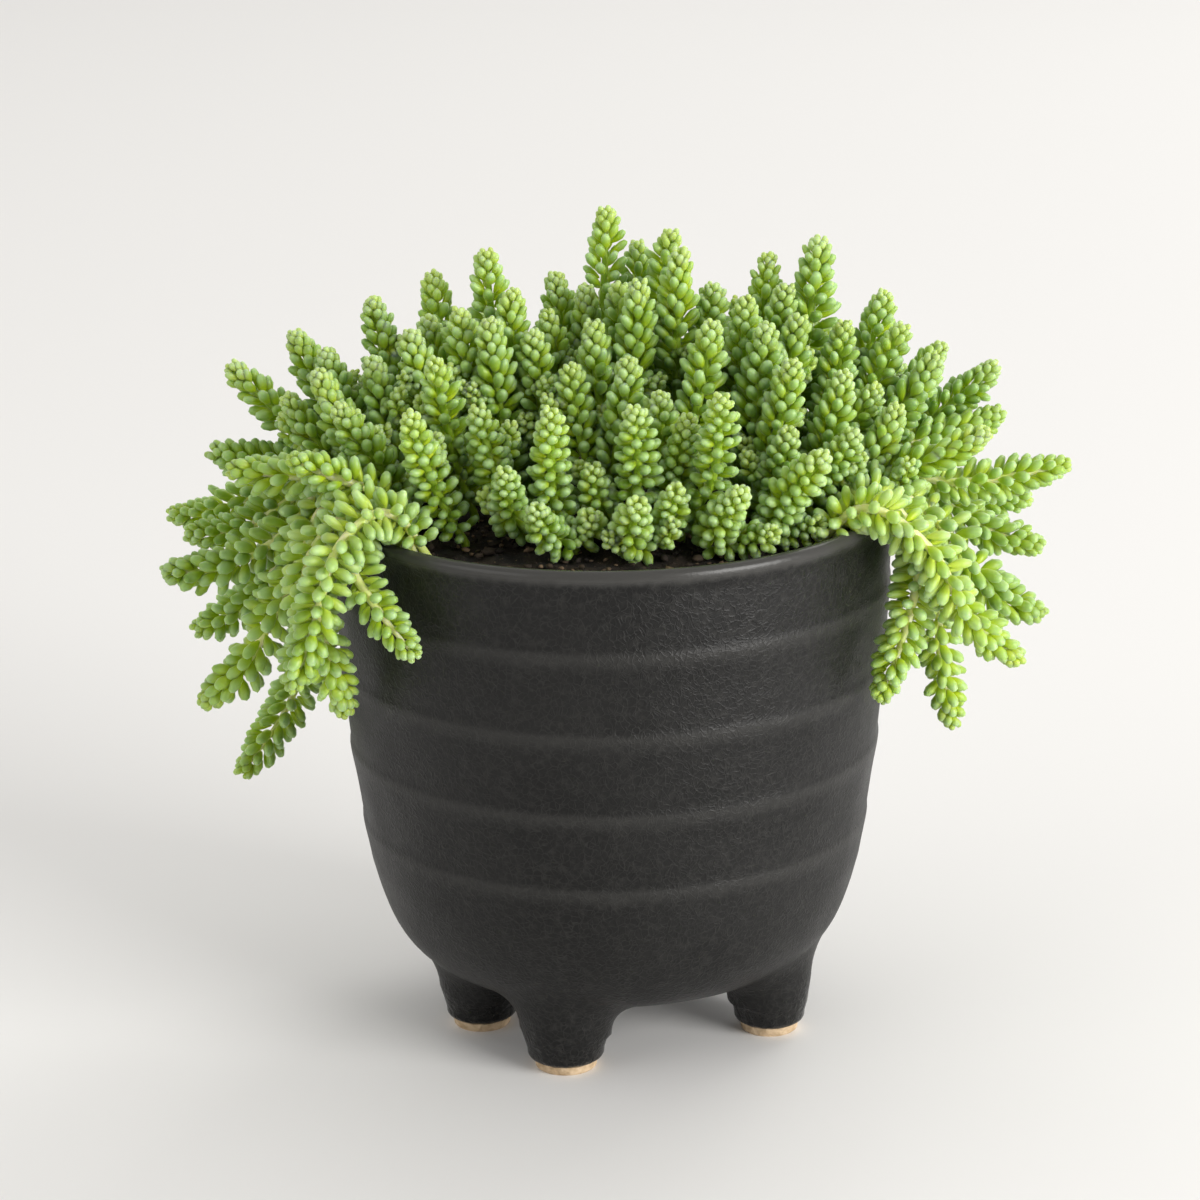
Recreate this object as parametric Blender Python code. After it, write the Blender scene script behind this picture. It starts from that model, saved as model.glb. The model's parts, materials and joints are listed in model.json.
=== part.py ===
"""A sedum in a footed stoneware pot: the pot, its soil, and the plant's leafy stems.

All sizes are millimetres until a mesh is made. The pot stands on z = 0, its axis is the Z axis,
and the side seen in the photograph faces -Y.
"""
import math
import random

import bmesh
import bpy
import numpy as np

MM = 0.001

# The pot: its outside, turned from the underside up to the rim, as height and radius
POT_HEIGHT = 146.0
RIM_RADIUS = 75.0
POT_SIDES = 26
UNDERSIDE_HEIGHT = 14.8
BELLY = ((UNDERSIDE_HEIGHT, 22.0), (17.6, 42.0), (23.4, 56.5), (35.0, 64.0), (47.0, 67.2))
WALL_TOP = (137.0, 74.1)
LIP = ((POT_HEIGHT - 4.0, RIM_RADIUS), (POT_HEIGHT - 0.8, RIM_RADIUS - 0.4), (POT_HEIGHT, RIM_RADIUS - 1.6))
THROWING_STEPS = ((58.2, 68.7), (79.5, 71.2), (101.5, 72.6), (123.4, 73.6))
STEP_DEPTH = 0.5
STEP_HALF_HEIGHT = 0.8
SMOOTH_BELOW = 30.0
CAVITY = ((20.5, 20.0), (22.5, 42.0), (33.0, 56.0), (60.0, 62.5), (138.0, 69.6),
          (144.8, 70.8), (149.0, 76.0))

# The feet: where each one stands, and one foot's outline from the bare clay up into the belly
FEET = ((-14.0, -41.0), (41.0, -18.0), (-37.0, -12.0), (11.0, 42.0))
FOOT_OUTLINE = ((0.0, 7.4), (2.4, 9.2), (9.0, 10.6), (15.5, 12.2), (20.5, 13.5), (26.0, 12.0), (34.0, 8.0))
FOOT_SIDES = 8

# The soil: its top lies this high at the rim and in the middle of the pot
SOIL_AT_RIM = 138.5
SOIL_RISE = 3.0
SOIL_ROUGHNESS = 0.5
SOIL_SIDES = 20
SOIL_RINGS = (68.7, 50.0, 26.0)
SOIL_FROM = 4
HOLE_RADIUS = 2.2
CLEARANCE = 0.3

# The stems: outer size of a leafy stem, its stalk, and how far apart the rows of leaves are
UPRIGHT_LEAVES = 5
TRAILER_LEAVES = 4
UPRIGHT_RADIUS = 5.2
TRAILER_RADIUS = 5.3
STALK_RADIUS = 1.2
ROOT_DEPTH = 7.0
ROW_PITCH = 5.4
TRAILER_PITCH = 4.8
LEAFY_LENGTH = {"front": 38.0, "middle": 24.0, "back": 28.0, "rear": 27.0}
ROOT_SPREAD = 0.74
ROOT_LIMIT = 55.0
TRAILER_ROOT = 62.5
ROOT_LIFT = 1.2
ROOT_BARE = 3.0
FORK_BARE = 2.5
TRAILER_BARE = 14.0
STALK_STEP = 24.0
TIP_LENGTH = 1.4
UPRIGHT_VALLEY = 0.68
TRAILER_VALLEY = 0.42
LEAF_LIFT = 0.45
ROW_CROWDING = 0.3

# How the stems lean apart: knots on each stem, rounds, and the wall and lip that they keep off
KNOTS = 12
FORK = 1
KIN_SHARE = 3
SETTLE_ROUNDS = 150
NEIGHBOUR_GAP = 0.8
WALL_CORE = 72.6
WALL_HALF = 3.1
WALL_LOW = (95.0, 69.5)
LIP_CORE = 143.5

# Where the tips of each sprig's stems are: x, y and height
UPRIGHTS = (
    ("front", ((7, -57, 160), (16, -52, 162))),
    ("front", ((33, -55, 162), (41, -52, 150))),
    ("front", ((-19, -58, 159), (-6, -48, 154))),
    ("front", ((54, -48, 169), (53, -42, 151))),
    ("front", ((-3, -38, 164), (6, -42, 180))),
    ("front", ((-15, -42, 180),)),
    ("front", ((20, -36, 176), (28, -45, 184))),
    ("front", ((-51, -40, 179),)),
    ("front", ((46, -30, 171), (63, -25, 169))),
    ("front", ((-34, -30, 178), (-27, -48, 166))),
    ("middle", ((-45, -20, 188), (-52, 0, 191))),
    ("middle", ((-10, -15, 185), (5, -18, 187))),
    ("middle", ((13, -28, 180), (27, -12, 195))),
    ("middle", ((47, -22, 187), (41, -12, 194))),
    ("middle", ((61, -15, 182), (71, -5, 175))),
    ("middle", ((-62, -5, 185), (-76, -10, 183))),
    ("middle", ((-70, -28, 178),)),
    ("middle", ((-85, -3, 175), (-75, 6, 185))),
    ("middle", ((-20, -2, 191), (-17, 7, 194))),
    ("middle", ((-31, -5, 195), (-39, 2, 196))),
    ("middle", ((-4, -5, 194), (8, -2, 204))),
    ("middle", ((3, 8, 201), (-6, 15, 199))),
    ("middle", ((36, -2, 199), (50, -2, 194))),
    ("middle", ((74, -10, 172), (99, -13, 165))),
    ("middle", ((62, 3, 191), (87, 5, 181))),
    ("back", ((0, 30, 217), (-14, 22, 201))),
    ("back", ((8, 38, 206), (17, 22, 212))),
    ("back", ((19, 8, 210), (28, 15, 199))),
    ("back", ((-32, 15, 209), (-25, 7, 200))),
    ("back", ((-47, 25, 201), (-48, 12, 192))),
    ("back", ((-63, 22, 195),)),
    ("back", ((-84, 18, 187), (-101, 15, 179))),
    ("back", ((43, 20, 206), (47, 8, 200))),
    ("back", ((56, 15, 211),)),
    ("back", ((74, 20, 195), (78, 8, 189))),
    ("back", ((89, 15, 182), (104, 20, 175))),
    ("rear", ((-10, 48, 188), (4, 66, 168))),
    ("rear", ((14, 52, 186), (28, 62, 170))),
    ("rear", ((-34, 42, 186), (-22, 62, 170))),
    ("rear", ((36, 40, 188), (50, 56, 166))),
    ("rear", ((-55, 40, 180), (-46, 58, 164))),
    ("rear", ((58, 36, 184), (70, 50, 158))),
    ("rear", ((-75, 36, 168), (-66, 50, 156))),
    ("rear", ((80, 34, 172),)),
)

# The stems that trail over the rim: each one's way from its root to its tip, as x, y and height
TRAILERS = (
    ("left", (((-54, 7), (-68, 9, 152), (-85, 9, 153), (-97, 9, 154), (-107, 9, 157)),)),
    ("left", (((-50, -26), (-58, -32, 152), (-68, -37, 157), (-76, -38, 162), (-82, -38, 167)),
              ((-52, -20), (-66, -22, 152), (-80, -23, 156), (-91, -23, 158), (-99, -23, 160)))),
    ("left", (((-50, 26), (-66, 26, 154), (-84, 28, 142), (-104, 33, 132), (-122, 36, 131)),
              ((-52, 16), (-68, 16, 153), (-84, 17, 141), (-100, 18, 131), (-116, 21, 130)))),
    ("left", (((-55, -4), (-70, -9, 151), (-85, -13, 137), (-102, -11, 129), (-119, -9, 128)),)),
    ("left", (((-50, 27), (-68, 30, 152), (-84, 25, 132), (-98, 26, 110), (-116, 31, 99)),
              ((-48, 36), (-62, 45, 152), (-76, 42, 128), (-78, 35, 100), (-88, 30, 77), (-104, 24, 59)))),
    ("left", (((-55, -14), (-70, -21, 149), (-82, -21, 128), (-96, -14, 104), (-110, -8, 91)),)),
    ("left", (((-42, -38), (-55, -47, 154), (-66, -54, 147), (-73, -57, 128), (-82, -55, 110)),)),
    ("left", (((-44, -32), (-57, -41, 150), (-67, -51, 141), (-61, -60, 133), (-49, -65, 121)),
              ((-54, -24), (-66, -33, 151), (-77, -39, 137), (-73, -42, 117), (-69, -40, 98)))),
    ("right", (((54, 2), (70, -3, 151), (87, -5, 147), (104, -2, 148), (122, 4, 151)),
               ((54, 6), (70, 9, 155), (84, 12, 158), (96, 13, 160), (105, 12, 164)))),
    ("right", (((50, 29), (66, 28, 152), (86, 27, 142), (101, 27, 136), (115, 27, 135)),
               ((54, 13), (69, 11, 152), (84, 10, 140), (101, 12, 129), (117, 15, 125)))),
    ("right", (((53, -13), (69, -16, 151), (84, -14, 140), (99, -7, 120), (115, -3, 111)),
               ((54, -3), (72, -3, 151), (84, -1, 128), (87, 2, 100), (92, 5, 77)))),
    ("right", (((46, -34), (62, -42, 152), (78, -41, 141), (90, -36, 121), (106, -31, 107)),)),
    ("right", (((54, -21), (69, -28, 151), (80, -32, 137), (76, -37, 118), (68, -41, 100)),)),
)


def clear_scene():
    for old in list(bpy.data.objects):
        bpy.data.objects.remove(old)


def material(name, colour, roughness):
    made = bpy.data.materials.new(name)
    made.use_nodes = True
    shader = made.node_tree.nodes["Principled BSDF"]
    shader.inputs["Base Color"].default_value = (*colour, 1.0)
    shader.inputs["Roughness"].default_value = roughness
    shader.inputs["Metallic"].default_value = 0.0
    return made


def new_object(name, points, faces, finish):
    """A mesh object of its own from points in millimetres, with its faces pointing out."""
    mesh = bpy.data.meshes.new(name)
    mesh.from_pydata([tuple(c * MM for c in p) for p in points], [], faces)
    work = bmesh.new()
    work.from_mesh(mesh)
    bmesh.ops.recalc_face_normals(work, faces=work.faces)
    work.to_mesh(mesh)
    work.free()
    if finish:
        mesh.materials.append(finish)
    made = bpy.data.objects.new(name, mesh)
    bpy.context.collection.objects.link(made)
    return made


def turned(name, outline, sides, finish, centre=(0.0, 0.0)):
    """A solid turned round a vertical axis; its outline runs from the bottom up, as height and radius."""
    points = []
    for height, radius in outline:
        for k in range(sides):
            angle = 2 * math.pi * k / sides
            x, y = radius * math.cos(angle), radius * math.sin(angle)
            points.append((centre[0] + x, centre[1] + y, height))
    faces = [list(range(sides))[::-1]]
    for ring in range(len(outline) - 1):
        low = ring * sides
        for k in range(sides):
            after = (k + 1) % sides
            faces.append((low + k, low + after, low + sides + after, low + sides + k))
    top = (len(outline) - 1) * sides
    faces.append(list(range(top, top + sides)))
    return new_object(name, points, faces, finish)


def combine(target, tools, operation):
    """Join the tools to the target, or cut them from it, with one Boolean, and remove them."""
    group = bpy.data.collections.new(target.name + "_tools")
    bpy.context.scene.collection.children.link(group)
    for tool in tools:
        bpy.context.collection.objects.unlink(tool)
        group.objects.link(tool)
    step = target.modifiers.new("combine", "BOOLEAN")
    step.operation = operation
    step.operand_type = "COLLECTION"
    step.collection = group
    step.solver = "EXACT"
    bpy.context.view_layer.objects.active = target
    bpy.ops.object.modifier_apply(modifier=step.name)
    for tool in list(group.objects):
        bpy.data.objects.remove(tool)
    bpy.data.collections.remove(group)


def make_pot(glaze):
    """The fired pot: a turned body with soft steps, four feet joined to its belly, and its hollow."""
    outline = list(BELLY)
    for height, radius in THROWING_STEPS:
        outline.append((height - STEP_HALF_HEIGHT, radius - STEP_DEPTH / 2))
        outline.append((height + STEP_HALF_HEIGHT, radius + STEP_DEPTH / 2))
    outline.append(WALL_TOP)
    outline.extend(LIP)
    body = turned("pot", outline, POT_SIDES, glaze)
    feet = [turned("foot", FOOT_OUTLINE, FOOT_SIDES, None, centre) for centre in FEET]
    combine(body, feet, "UNION")
    combine(body, [turned("hollow", CAVITY, POT_SIDES, None)], "DIFFERENCE")
    body.data.shade_smooth()
    body.data.set_sharp_from_angle(angle=math.radians(SMOOTH_BELOW))


def soil_height(x, y):
    return SOIL_AT_RIM + SOIL_RISE * (1.0 - (x * x + y * y) / (SOIL_RINGS[0] ** 2))


def make_soil(roots, finish):
    """The potting mix: it fills the pot's hollow, with a rough top and a plain hole for each root."""
    rough = random.Random(5)
    flats = math.cos(math.pi / POT_SIDES)
    outline = [(height + CLEARANCE, radius * flats - CLEARANCE) for height, radius in CAVITY[:SOIL_FROM]]
    points = []
    for height, radius in outline:
        for k in range(SOIL_SIDES):
            angle = 2 * math.pi * k / SOIL_SIDES
            points.append((radius * math.cos(angle), radius * math.sin(angle), height))
    for radius in SOIL_RINGS:
        for k in range(SOIL_SIDES):
            angle = 2 * math.pi * k / SOIL_SIDES
            x, y = radius * math.cos(angle), radius * math.sin(angle)
            points.append((x, y, soil_height(x, y) + rough.uniform(-1, 1) * SOIL_ROUGHNESS))
    points.append((0.0, 0.0, soil_height(0.0, 0.0)))
    faces = [list(range(SOIL_SIDES))[::-1]]
    for ring in range(len(outline) + len(SOIL_RINGS) - 1):
        low = ring * SOIL_SIDES
        for k in range(SOIL_SIDES):
            after = (k + 1) % SOIL_SIDES
            faces.append((low + k, low + after, low + SOIL_SIDES + after))
            faces.append((low + k, low + SOIL_SIDES + after, low + SOIL_SIDES + k))
    last = len(points) - 1
    for k in range(SOIL_SIDES):
        faces.append((last - SOIL_SIDES + k, last - SOIL_SIDES + (k + 1) % SOIL_SIDES, last))
    soil = new_object("soil", points, faces, finish)
    holes = []
    for x, y in roots:
        bottom = soil_height(x, y) - ROOT_DEPTH
        outline = ((bottom, HOLE_RADIUS), (bottom + 3 * ROOT_DEPTH, HOLE_RADIUS))
        holes.append(turned("hole", outline, 4, None, (x, y)))
    combine(soil, holes, "DIFFERENCE")


def even_points(points, count):
    """Points at even steps along the smooth curve through the given points."""
    given = np.array(points, float)
    ends = np.vstack([2 * given[0] - given[1], given, 2 * given[-1] - given[-2]])
    fine = []
    for k in range(1, len(ends) - 2):
        a, b, c, d = ends[k - 1:k + 3]
        for t in np.linspace(0, 1, 12, endpoint=False):
            bend = (2 * a - 5 * b + 4 * c - d) * t ** 2 + (3 * b - a - 3 * c + d) * t ** 3
            fine.append(0.5 * (2 * b + (c - a) * t + bend))
    fine.append(given[-1])
    fine = np.array(fine)
    steps = np.linalg.norm(np.diff(fine, axis=0), axis=1)
    along = np.concatenate([[0.0], np.cumsum(steps)])
    wanted = np.linspace(0, along[-1], count)
    return np.stack([np.interp(wanted, along, fine[:, axis]) for axis in range(3)], 1)


def length_of(points):
    return float(np.linalg.norm(np.diff(points, axis=0), axis=1).sum())


def fullness(share):
    """How wide the leaves stand at a share of the leafy length: full in the middle, slim at the tip."""
    return float(np.interp(share, (0.0, 0.15, 0.6, 0.85, 1.0), (0.82, 1.0, 1.0, 0.86, 0.62)))


class Stem:
    """One leafy stem: its knots from the soil or its fork to its tip, and where its leaves start."""

    def __init__(self, knots, radius, leafy, root_limit, parent=None):
        self.knots = even_points(knots, KNOTS)
        self.aim = self.knots.copy()
        self.radius = radius
        self.leafy = leafy
        self.root_limit = root_limit
        self.parent = parent

    def leaf_start(self):
        least = FORK_BARE if self.parent else ROOT_BARE
        return max(least, length_of(self.knots) - self.leafy)

    def reach(self):
        """How far leaves or bare stalk reach from each knot."""
        length = length_of(self.knots)
        start = self.leaf_start()
        out = []
        for along in np.linspace(0, length, KNOTS):
            if along < start - 1.5:
                out.append(STALK_RADIUS)
            else:
                out.append(self.radius * fullness((along - start) / (length - start)))
        return np.array(out)


def upright_route(tip, root):
    """From the root up, leaning out to the tip and growing straighter towards it."""
    low = np.array((root[0], root[1], soil_height(*root) + ROOT_LIFT))
    high = np.array(tip, float)
    middle = np.array((*(0.35 * low[:2] + 0.65 * high[:2]), 0.58 * low[2] + 0.42 * high[2]))
    return [(1 - t) ** 2 * low + 2 * t * (1 - t) * middle + t * t * high for t in np.linspace(0, 1, 7)]


def plan_sprigs():
    """Every sprig's name and stems, from the tips and ways given above."""
    sprigs = []
    count = {}
    for region, tips in UPRIGHTS:
        count[region] = count.get(region, 0) + 1
        centre = ROOT_SPREAD * np.mean([tip[:2] for tip in tips], axis=0)
        centre *= min(1.0, ROOT_LIMIT / float(np.linalg.norm(centre)))
        stems = []
        for tip in tips:
            parent = stems[0] if stems else None
            route = upright_route(tip, centre)
            stems.append(Stem(route, UPRIGHT_RADIUS, LEAFY_LENGTH[region], ROOT_LIMIT, parent))
        sprigs.append((f"{region}_sprig_{count[region]:02d}", stems))
    for side, ways in TRAILERS:
        count[side] = count.get(side, 0) + 1
        stems = []
        for way in ways:
            x, y = TRAILER_ROOT * np.array(way[0]) / np.linalg.norm(way[0])
            route = [(x, y, soil_height(x, y) + ROOT_LIFT)] + list(way[1:])
            length = length_of(even_points(route, KNOTS))
            parent = stems[0] if stems else None
            stems.append(Stem(route, TRAILER_RADIUS, length - TRAILER_BARE, TRAILER_ROOT + 1.0, parent))
        sprigs.append((f"{side}_trailer_{count[side]:02d}", stems))
    return sprigs


def clear_of_pot(knots, reach):
    """Move knots off the pot's wall and lip, and up out of the soil."""
    flat = np.linalg.norm(knots[:, :2], axis=1)
    outward = knots[:, :2] / np.maximum(flat, 1e-6)[:, None]
    near = np.minimum(knots[:, 2], LIP_CORE)
    wall = np.interp(near, (WALL_LOW[0], LIP_CORE), (WALL_LOW[1], WALL_CORE))
    gap_flat, gap_up = flat - wall, knots[:, 2] - near
    gap = np.hypot(gap_flat, gap_up)
    short = np.maximum(0.0, reach + WALL_HALF + CLEARANCE - gap)
    knots[:, :2] += outward * (short * gap_flat / np.maximum(gap, 1e-6))[:, None]
    knots[:, 2] += short * gap_up / np.maximum(gap, 1e-6)
    run = np.gradient(knots, axis=0)
    lying = np.hypot(run[:, 0], run[:, 1]) / np.linalg.norm(run, axis=1)
    inside = np.linalg.norm(knots[:, :2], axis=1) < WALL_CORE
    soil = SOIL_AT_RIM + SOIL_RISE * (1.0 - (knots[:, 0] ** 2 + knots[:, 1] ** 2) / SOIL_RINGS[0] ** 2)
    lowest = np.where(inside, soil + SOIL_ROUGHNESS + reach * lying + CLEARANCE, -1000.0)
    knots[1:, 2] = np.maximum(knots[1:, 2], lowest[1:])


def settle(stems):
    """Lean the stems apart until no leaves of one reach another, the pot or the soil."""
    owner = np.repeat(np.arange(len(stems)), KNOTS)
    step = np.tile(np.arange(KNOTS), len(stems))
    root = np.array([stems.index(stem.parent) if stem.parent else k for k, stem in enumerate(stems)])
    kin = root[owner][:, None] == root[owner][None, :]
    low = np.minimum(step[:, None], step[None, :]) <= KIN_SHARE
    skip = (owner[:, None] == owner[None, :]) | (kin & low)
    for _ in range(SETTLE_ROUNDS):
        places = np.vstack([stem.knots for stem in stems])
        reach = np.concatenate([stem.reach() for stem in stems])
        square = (places ** 2).sum(1)
        gap = np.sqrt(np.maximum(square[:, None] + square[None] - 2 * places @ places.T, 1e-6))
        short = reach[:, None] + reach[None] + NEIGHBOUR_GAP - gap
        short[skip | (short < 0)] = 0.0
        pull = 0.5 * short / gap
        push = places * pull.sum(1)[:, None] - pull @ places
        for k, stem in enumerate(stems):
            moved = push[k * KNOTS:(k + 1) * KNOTS]
            moved[0, 2] = 0.0
            stem.knots += moved
            shift = stem.knots - stem.aim
            eased = shift.copy()
            eased[1:-1] = 0.5 * shift[1:-1] + 0.25 * (shift[:-2] + shift[2:])
            eased[0, 2] = 0.0
            stem.knots = stem.aim + eased
            clear_of_pot(stem.knots, stem.reach())
            if stem.parent:
                stem.knots[0] = stem.parent.knots[FORK]
            else:
                away = float(np.linalg.norm(stem.knots[0, :2]))
                stem.knots[0, :2] *= min(1.0, stem.root_limit / away)
                stem.knots[0, 2] = soil_height(*stem.knots[0, :2]) + ROOT_LIFT


def carried_frames(line):
    """Two directions across the line at each of its points, carried along it without twist."""
    run = np.gradient(line, axis=0)
    run /= np.linalg.norm(run, axis=1)[:, None]
    start = np.array((1.0, 0.0, 0.0)) if abs(run[0][0]) < 0.8 else np.array((0.0, 1.0, 0.0))
    side = start - run[0] * start.dot(run[0])
    sides = []
    for ahead in run:
        side = side - ahead * side.dot(ahead)
        side = side / np.linalg.norm(side)
        sides.append(side)
    sides = np.array(sides)
    return sides, np.cross(run, sides)


def leafy_mesh(name, stem, draw, finish):
    """One closed skin: bare stalk, rows of leaves raised from the stem in a staggered net, and the tip."""
    trailing = stem.radius == TRAILER_RADIUS
    around = TRAILER_LEAVES if trailing else UPRIGHT_LEAVES
    curve = even_points(stem.knots, 60)
    bare = stem.leaf_start()
    if not stem.parent:
        foot = curve[0] - (0, 0, ROOT_DEPTH + ROOT_LIFT - CLEARANCE)
        curve = np.vstack([foot, curve])
    along = np.concatenate([[0.0], np.cumsum(np.linalg.norm(np.diff(curve, axis=0), axis=1))])
    stub = 0.0 if stem.parent else float(along[1])
    sides, ups = carried_frames(curve)
    length = float(along[-1])
    leaf_from = stub + bare
    turn = draw.uniform(0, 2 * math.pi)
    radius = stem.radius * draw.uniform(0.95, 1.0)
    valley = TRAILER_VALLEY if trailing else UPRIGHT_VALLEY
    pitch = TRAILER_PITCH if trailing else ROW_PITCH

    def place(distance, out, half_steps):
        at = [np.interp(distance, along, curve[:, axis]) for axis in range(3)]
        side = np.array([np.interp(distance, along, sides[:, axis]) for axis in range(3)])
        up = np.array([np.interp(distance, along, ups[:, axis]) for axis in range(3)])
        angle = turn + half_steps * math.pi / around
        return np.array(at) + out * (math.cos(angle) * side + math.sin(angle) * up)

    points = []
    faces = []
    stalk = [0.0]
    if stub:
        stalk.append(stub)
    for k in range(1, int((leaf_from - stub) // STALK_STEP) + 1):
        stalk.append(stub + (leaf_from - stub) * k / (int((leaf_from - stub) // STALK_STEP) + 1))
    for distance in stalk:
        points.extend(place(distance, STALK_RADIUS, 2 * k) for k in range(around))
    rows = max(3, round((length - TIP_LENGTH - leaf_from) / pitch))
    shares = [(1 + ROW_CROWDING) * j / rows - ROW_CROWDING * (j / rows) ** 2 for j in range(rows + 1)]
    row_from = [leaf_from + (length - TIP_LENGTH - leaf_from) * share for share in shares]
    first = len(stalk)
    for j, distance in enumerate(row_from):
        wide = radius * fullness(shares[j])
        points.extend(place(distance, wide * valley, 2 * k + j % 2) for k in range(around))
    faces.append(list(range(around))[::-1])
    for ring in range(first):
        low = ring * around
        for k in range(around):
            after = (k + 1) % around
            faces.append((low + k, low + after, low + around + after, low + around + k))

    def valley_point(j, k):
        return (first + j) * around + k % around

    for j in range(rows + 1):
        for k in range(around):
            over = k if j % 2 == 0 else k + 1
            left, right = valley_point(j, k), valley_point(j, k + 1)
            below = valley_point(j - 1, over) if j > 0 else None
            above = valley_point(j + 1, over) if j < rows else None
            if below is None:
                faces.append((left, right, above))
                continue
            if above is None:
                faces.append((right, left, below))
                continue
            wide = radius * fullness(shares[j]) * draw.uniform(0.93, 1.0)
            lift = LEAF_LIFT * (row_from[j + 1] - row_from[j])
            points.append(place(min(row_from[j] + lift, length), wide, 2 * k + 1 + j % 2))
            peak = len(points) - 1
            faces.extend(((below, right, peak), (right, above, peak)))
            faces.extend(((above, left, peak), (left, below, peak)))
    points.append(place(length, 0.0, 0))
    for k in range(around):
        faces.append((valley_point(rows, k), valley_point(rows, k + 1), len(points) - 1))
    return new_object(name, points, faces, finish)


def make_sprig(name, stems, draw, finish):
    """A sprig: its main stem, with any side stem fused to the stalk they share."""
    body = leafy_mesh(name, stems[0], draw, finish)
    others = [leafy_mesh(name + "_side", stem, draw, None) for stem in stems[1:]]
    if others:
        combine(body, others, "UNION")
    return body


clear_scene()
glaze = material("charcoal_glaze", (0.030, 0.030, 0.028), 0.5)
potting_mix = material("potting_mix", (0.030, 0.020, 0.013), 0.95)
foliage = material("sedum_leaf", (0.27, 0.42, 0.15), 0.45)
plan = plan_sprigs()
settle([stem for _, stems in plan for stem in stems])
make_pot(glaze)
make_soil([stems[0].knots[0][:2] for _, stems in plan], potting_mix)
chance = random.Random(11)
for sprig, stems in plan:
    make_sprig(sprig, stems, chance, foliage)
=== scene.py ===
"""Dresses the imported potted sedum: the fired pot, its potting mix, and every leaf of its sprigs."""

import json
import math
import random

import bpy
import numpy as np
from mathutils import Matrix, Vector, noise

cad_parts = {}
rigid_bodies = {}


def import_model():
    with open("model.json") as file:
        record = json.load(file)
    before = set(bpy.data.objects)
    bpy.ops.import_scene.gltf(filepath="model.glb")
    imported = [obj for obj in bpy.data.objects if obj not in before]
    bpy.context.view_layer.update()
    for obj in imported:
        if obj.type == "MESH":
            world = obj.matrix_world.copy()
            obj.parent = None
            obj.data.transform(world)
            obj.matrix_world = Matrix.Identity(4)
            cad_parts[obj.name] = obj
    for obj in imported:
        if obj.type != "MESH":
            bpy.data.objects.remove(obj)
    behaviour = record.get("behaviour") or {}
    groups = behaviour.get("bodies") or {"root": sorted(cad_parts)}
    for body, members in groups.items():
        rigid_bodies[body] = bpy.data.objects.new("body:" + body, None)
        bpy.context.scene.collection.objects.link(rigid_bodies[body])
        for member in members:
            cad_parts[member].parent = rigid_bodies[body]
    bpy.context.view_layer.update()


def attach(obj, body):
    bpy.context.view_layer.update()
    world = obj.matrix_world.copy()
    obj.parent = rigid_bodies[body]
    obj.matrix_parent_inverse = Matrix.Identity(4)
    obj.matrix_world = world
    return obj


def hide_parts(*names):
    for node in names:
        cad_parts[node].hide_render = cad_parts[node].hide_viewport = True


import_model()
MM = 0.001

# The pot is thrown stoneware, about 150 mm across its rim, under a dry charcoal glaze. Soft throwing
# ridges run round its wall, and four pulled feet are blended into its belly. The glaze stops just
# above the bottoms of the feet, where the bare tan clay shows.
POT_SIDES = 144
WALL_FOOT = (47.0, 66.2)
WALL_HEAD = (140.0, 74.2)
WALL_BULGE = 1.8
WALL_STEP = 0.8
# Heights with the radius at each, in millimetres: the underside, the rim, the inside and a foot's side
UNDERSIDE = (
    (14.8, 22.0), (15.3, 32.0), (17.2, 42.0), (19.8, 50.0), (24.0, 56.1), (30.0, 60.5), (38.0, 63.7),
    WALL_FOOT)
UNDERSIDE_RINGS = 26
RIM = (
    (141.6, 74.7), (143.2, 75.0), (144.6, 74.9), (145.6, 74.3), (146.0, 73.2), (145.7, 72.1), (144.9, 71.3),
    (143.6, 70.9))
RIM_RINGS = 18
INSIDE = ((138.0, 69.7), (60.0, 62.5), (33.0, 56.0), (22.5, 42.0), (20.5, 20.0))
RIDGES = (58.2, 79.5, 101.5, 123.4)
RIDGE_HEIGHT = 0.50
RIDGE_ABOVE = 1.7
RIDGE_BELOW = 6.5
RIDGE_WANDER = 0.35
RIDGE_RIPPLE = 0.12
RIDGE_UNEVEN = 0.2
FEET = ((-14.0, -41.0), (41.0, -18.0), (-37.0, -12.0), (11.0, 42.0))
FOOT_GIRTH = (1.07, 1.0, 1.0, 1.0)
FOOT_SIDE = (
    (0.0, 7.2), (0.4, 7.6), (1.4, 7.75), (2.4, 7.9), (2.8, 8.5), (3.3, 9.15), (4.0, 9.5), (5.4, 9.6),
    (8.0, 10.3))
FOOT_TOP = 11.6
FOOT_BLEND = 10.5
BLEND_EDGE = 61.5
BLEND_DROP = 0.8 * FOOT_BLEND
BLEND_LEAST = 0.6
BLEND_LIFT = 0.06
BLEND_TRIM = 0.25
FOOT_SLOPE = 0.25
FOOT_CORE = 9.0
FOOT_SUNK = 2.0
POT_CREASE = 38.0


def even_points(points, count):
    """Points at even steps along the smooth curve through the given points."""
    given = np.array(points, float)
    ends = np.vstack([2 * given[0] - given[1], given, 2 * given[-1] - given[-2]])
    fine = []
    for k in range(1, len(ends) - 2):
        a, b, c, d = ends[k - 1:k + 3]
        for t in np.linspace(0, 1, 12, endpoint=False):
            bend = (2 * a - 5 * b + 4 * c - d) * t ** 2 + (3 * b - a - 3 * c + d) * t ** 3
            fine.append(0.5 * (2 * b + (c - a) * t + bend))
    fine.append(given[-1])
    fine = np.array(fine)
    steps = np.linalg.norm(np.diff(fine, axis=0), axis=1)
    along = np.concatenate([[0.0], np.cumsum(steps)])
    wanted = np.linspace(0, along[-1], count)
    return np.stack([np.interp(wanted, along, fine[:, axis]) for axis in range(given.shape[1])], 1)


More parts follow.
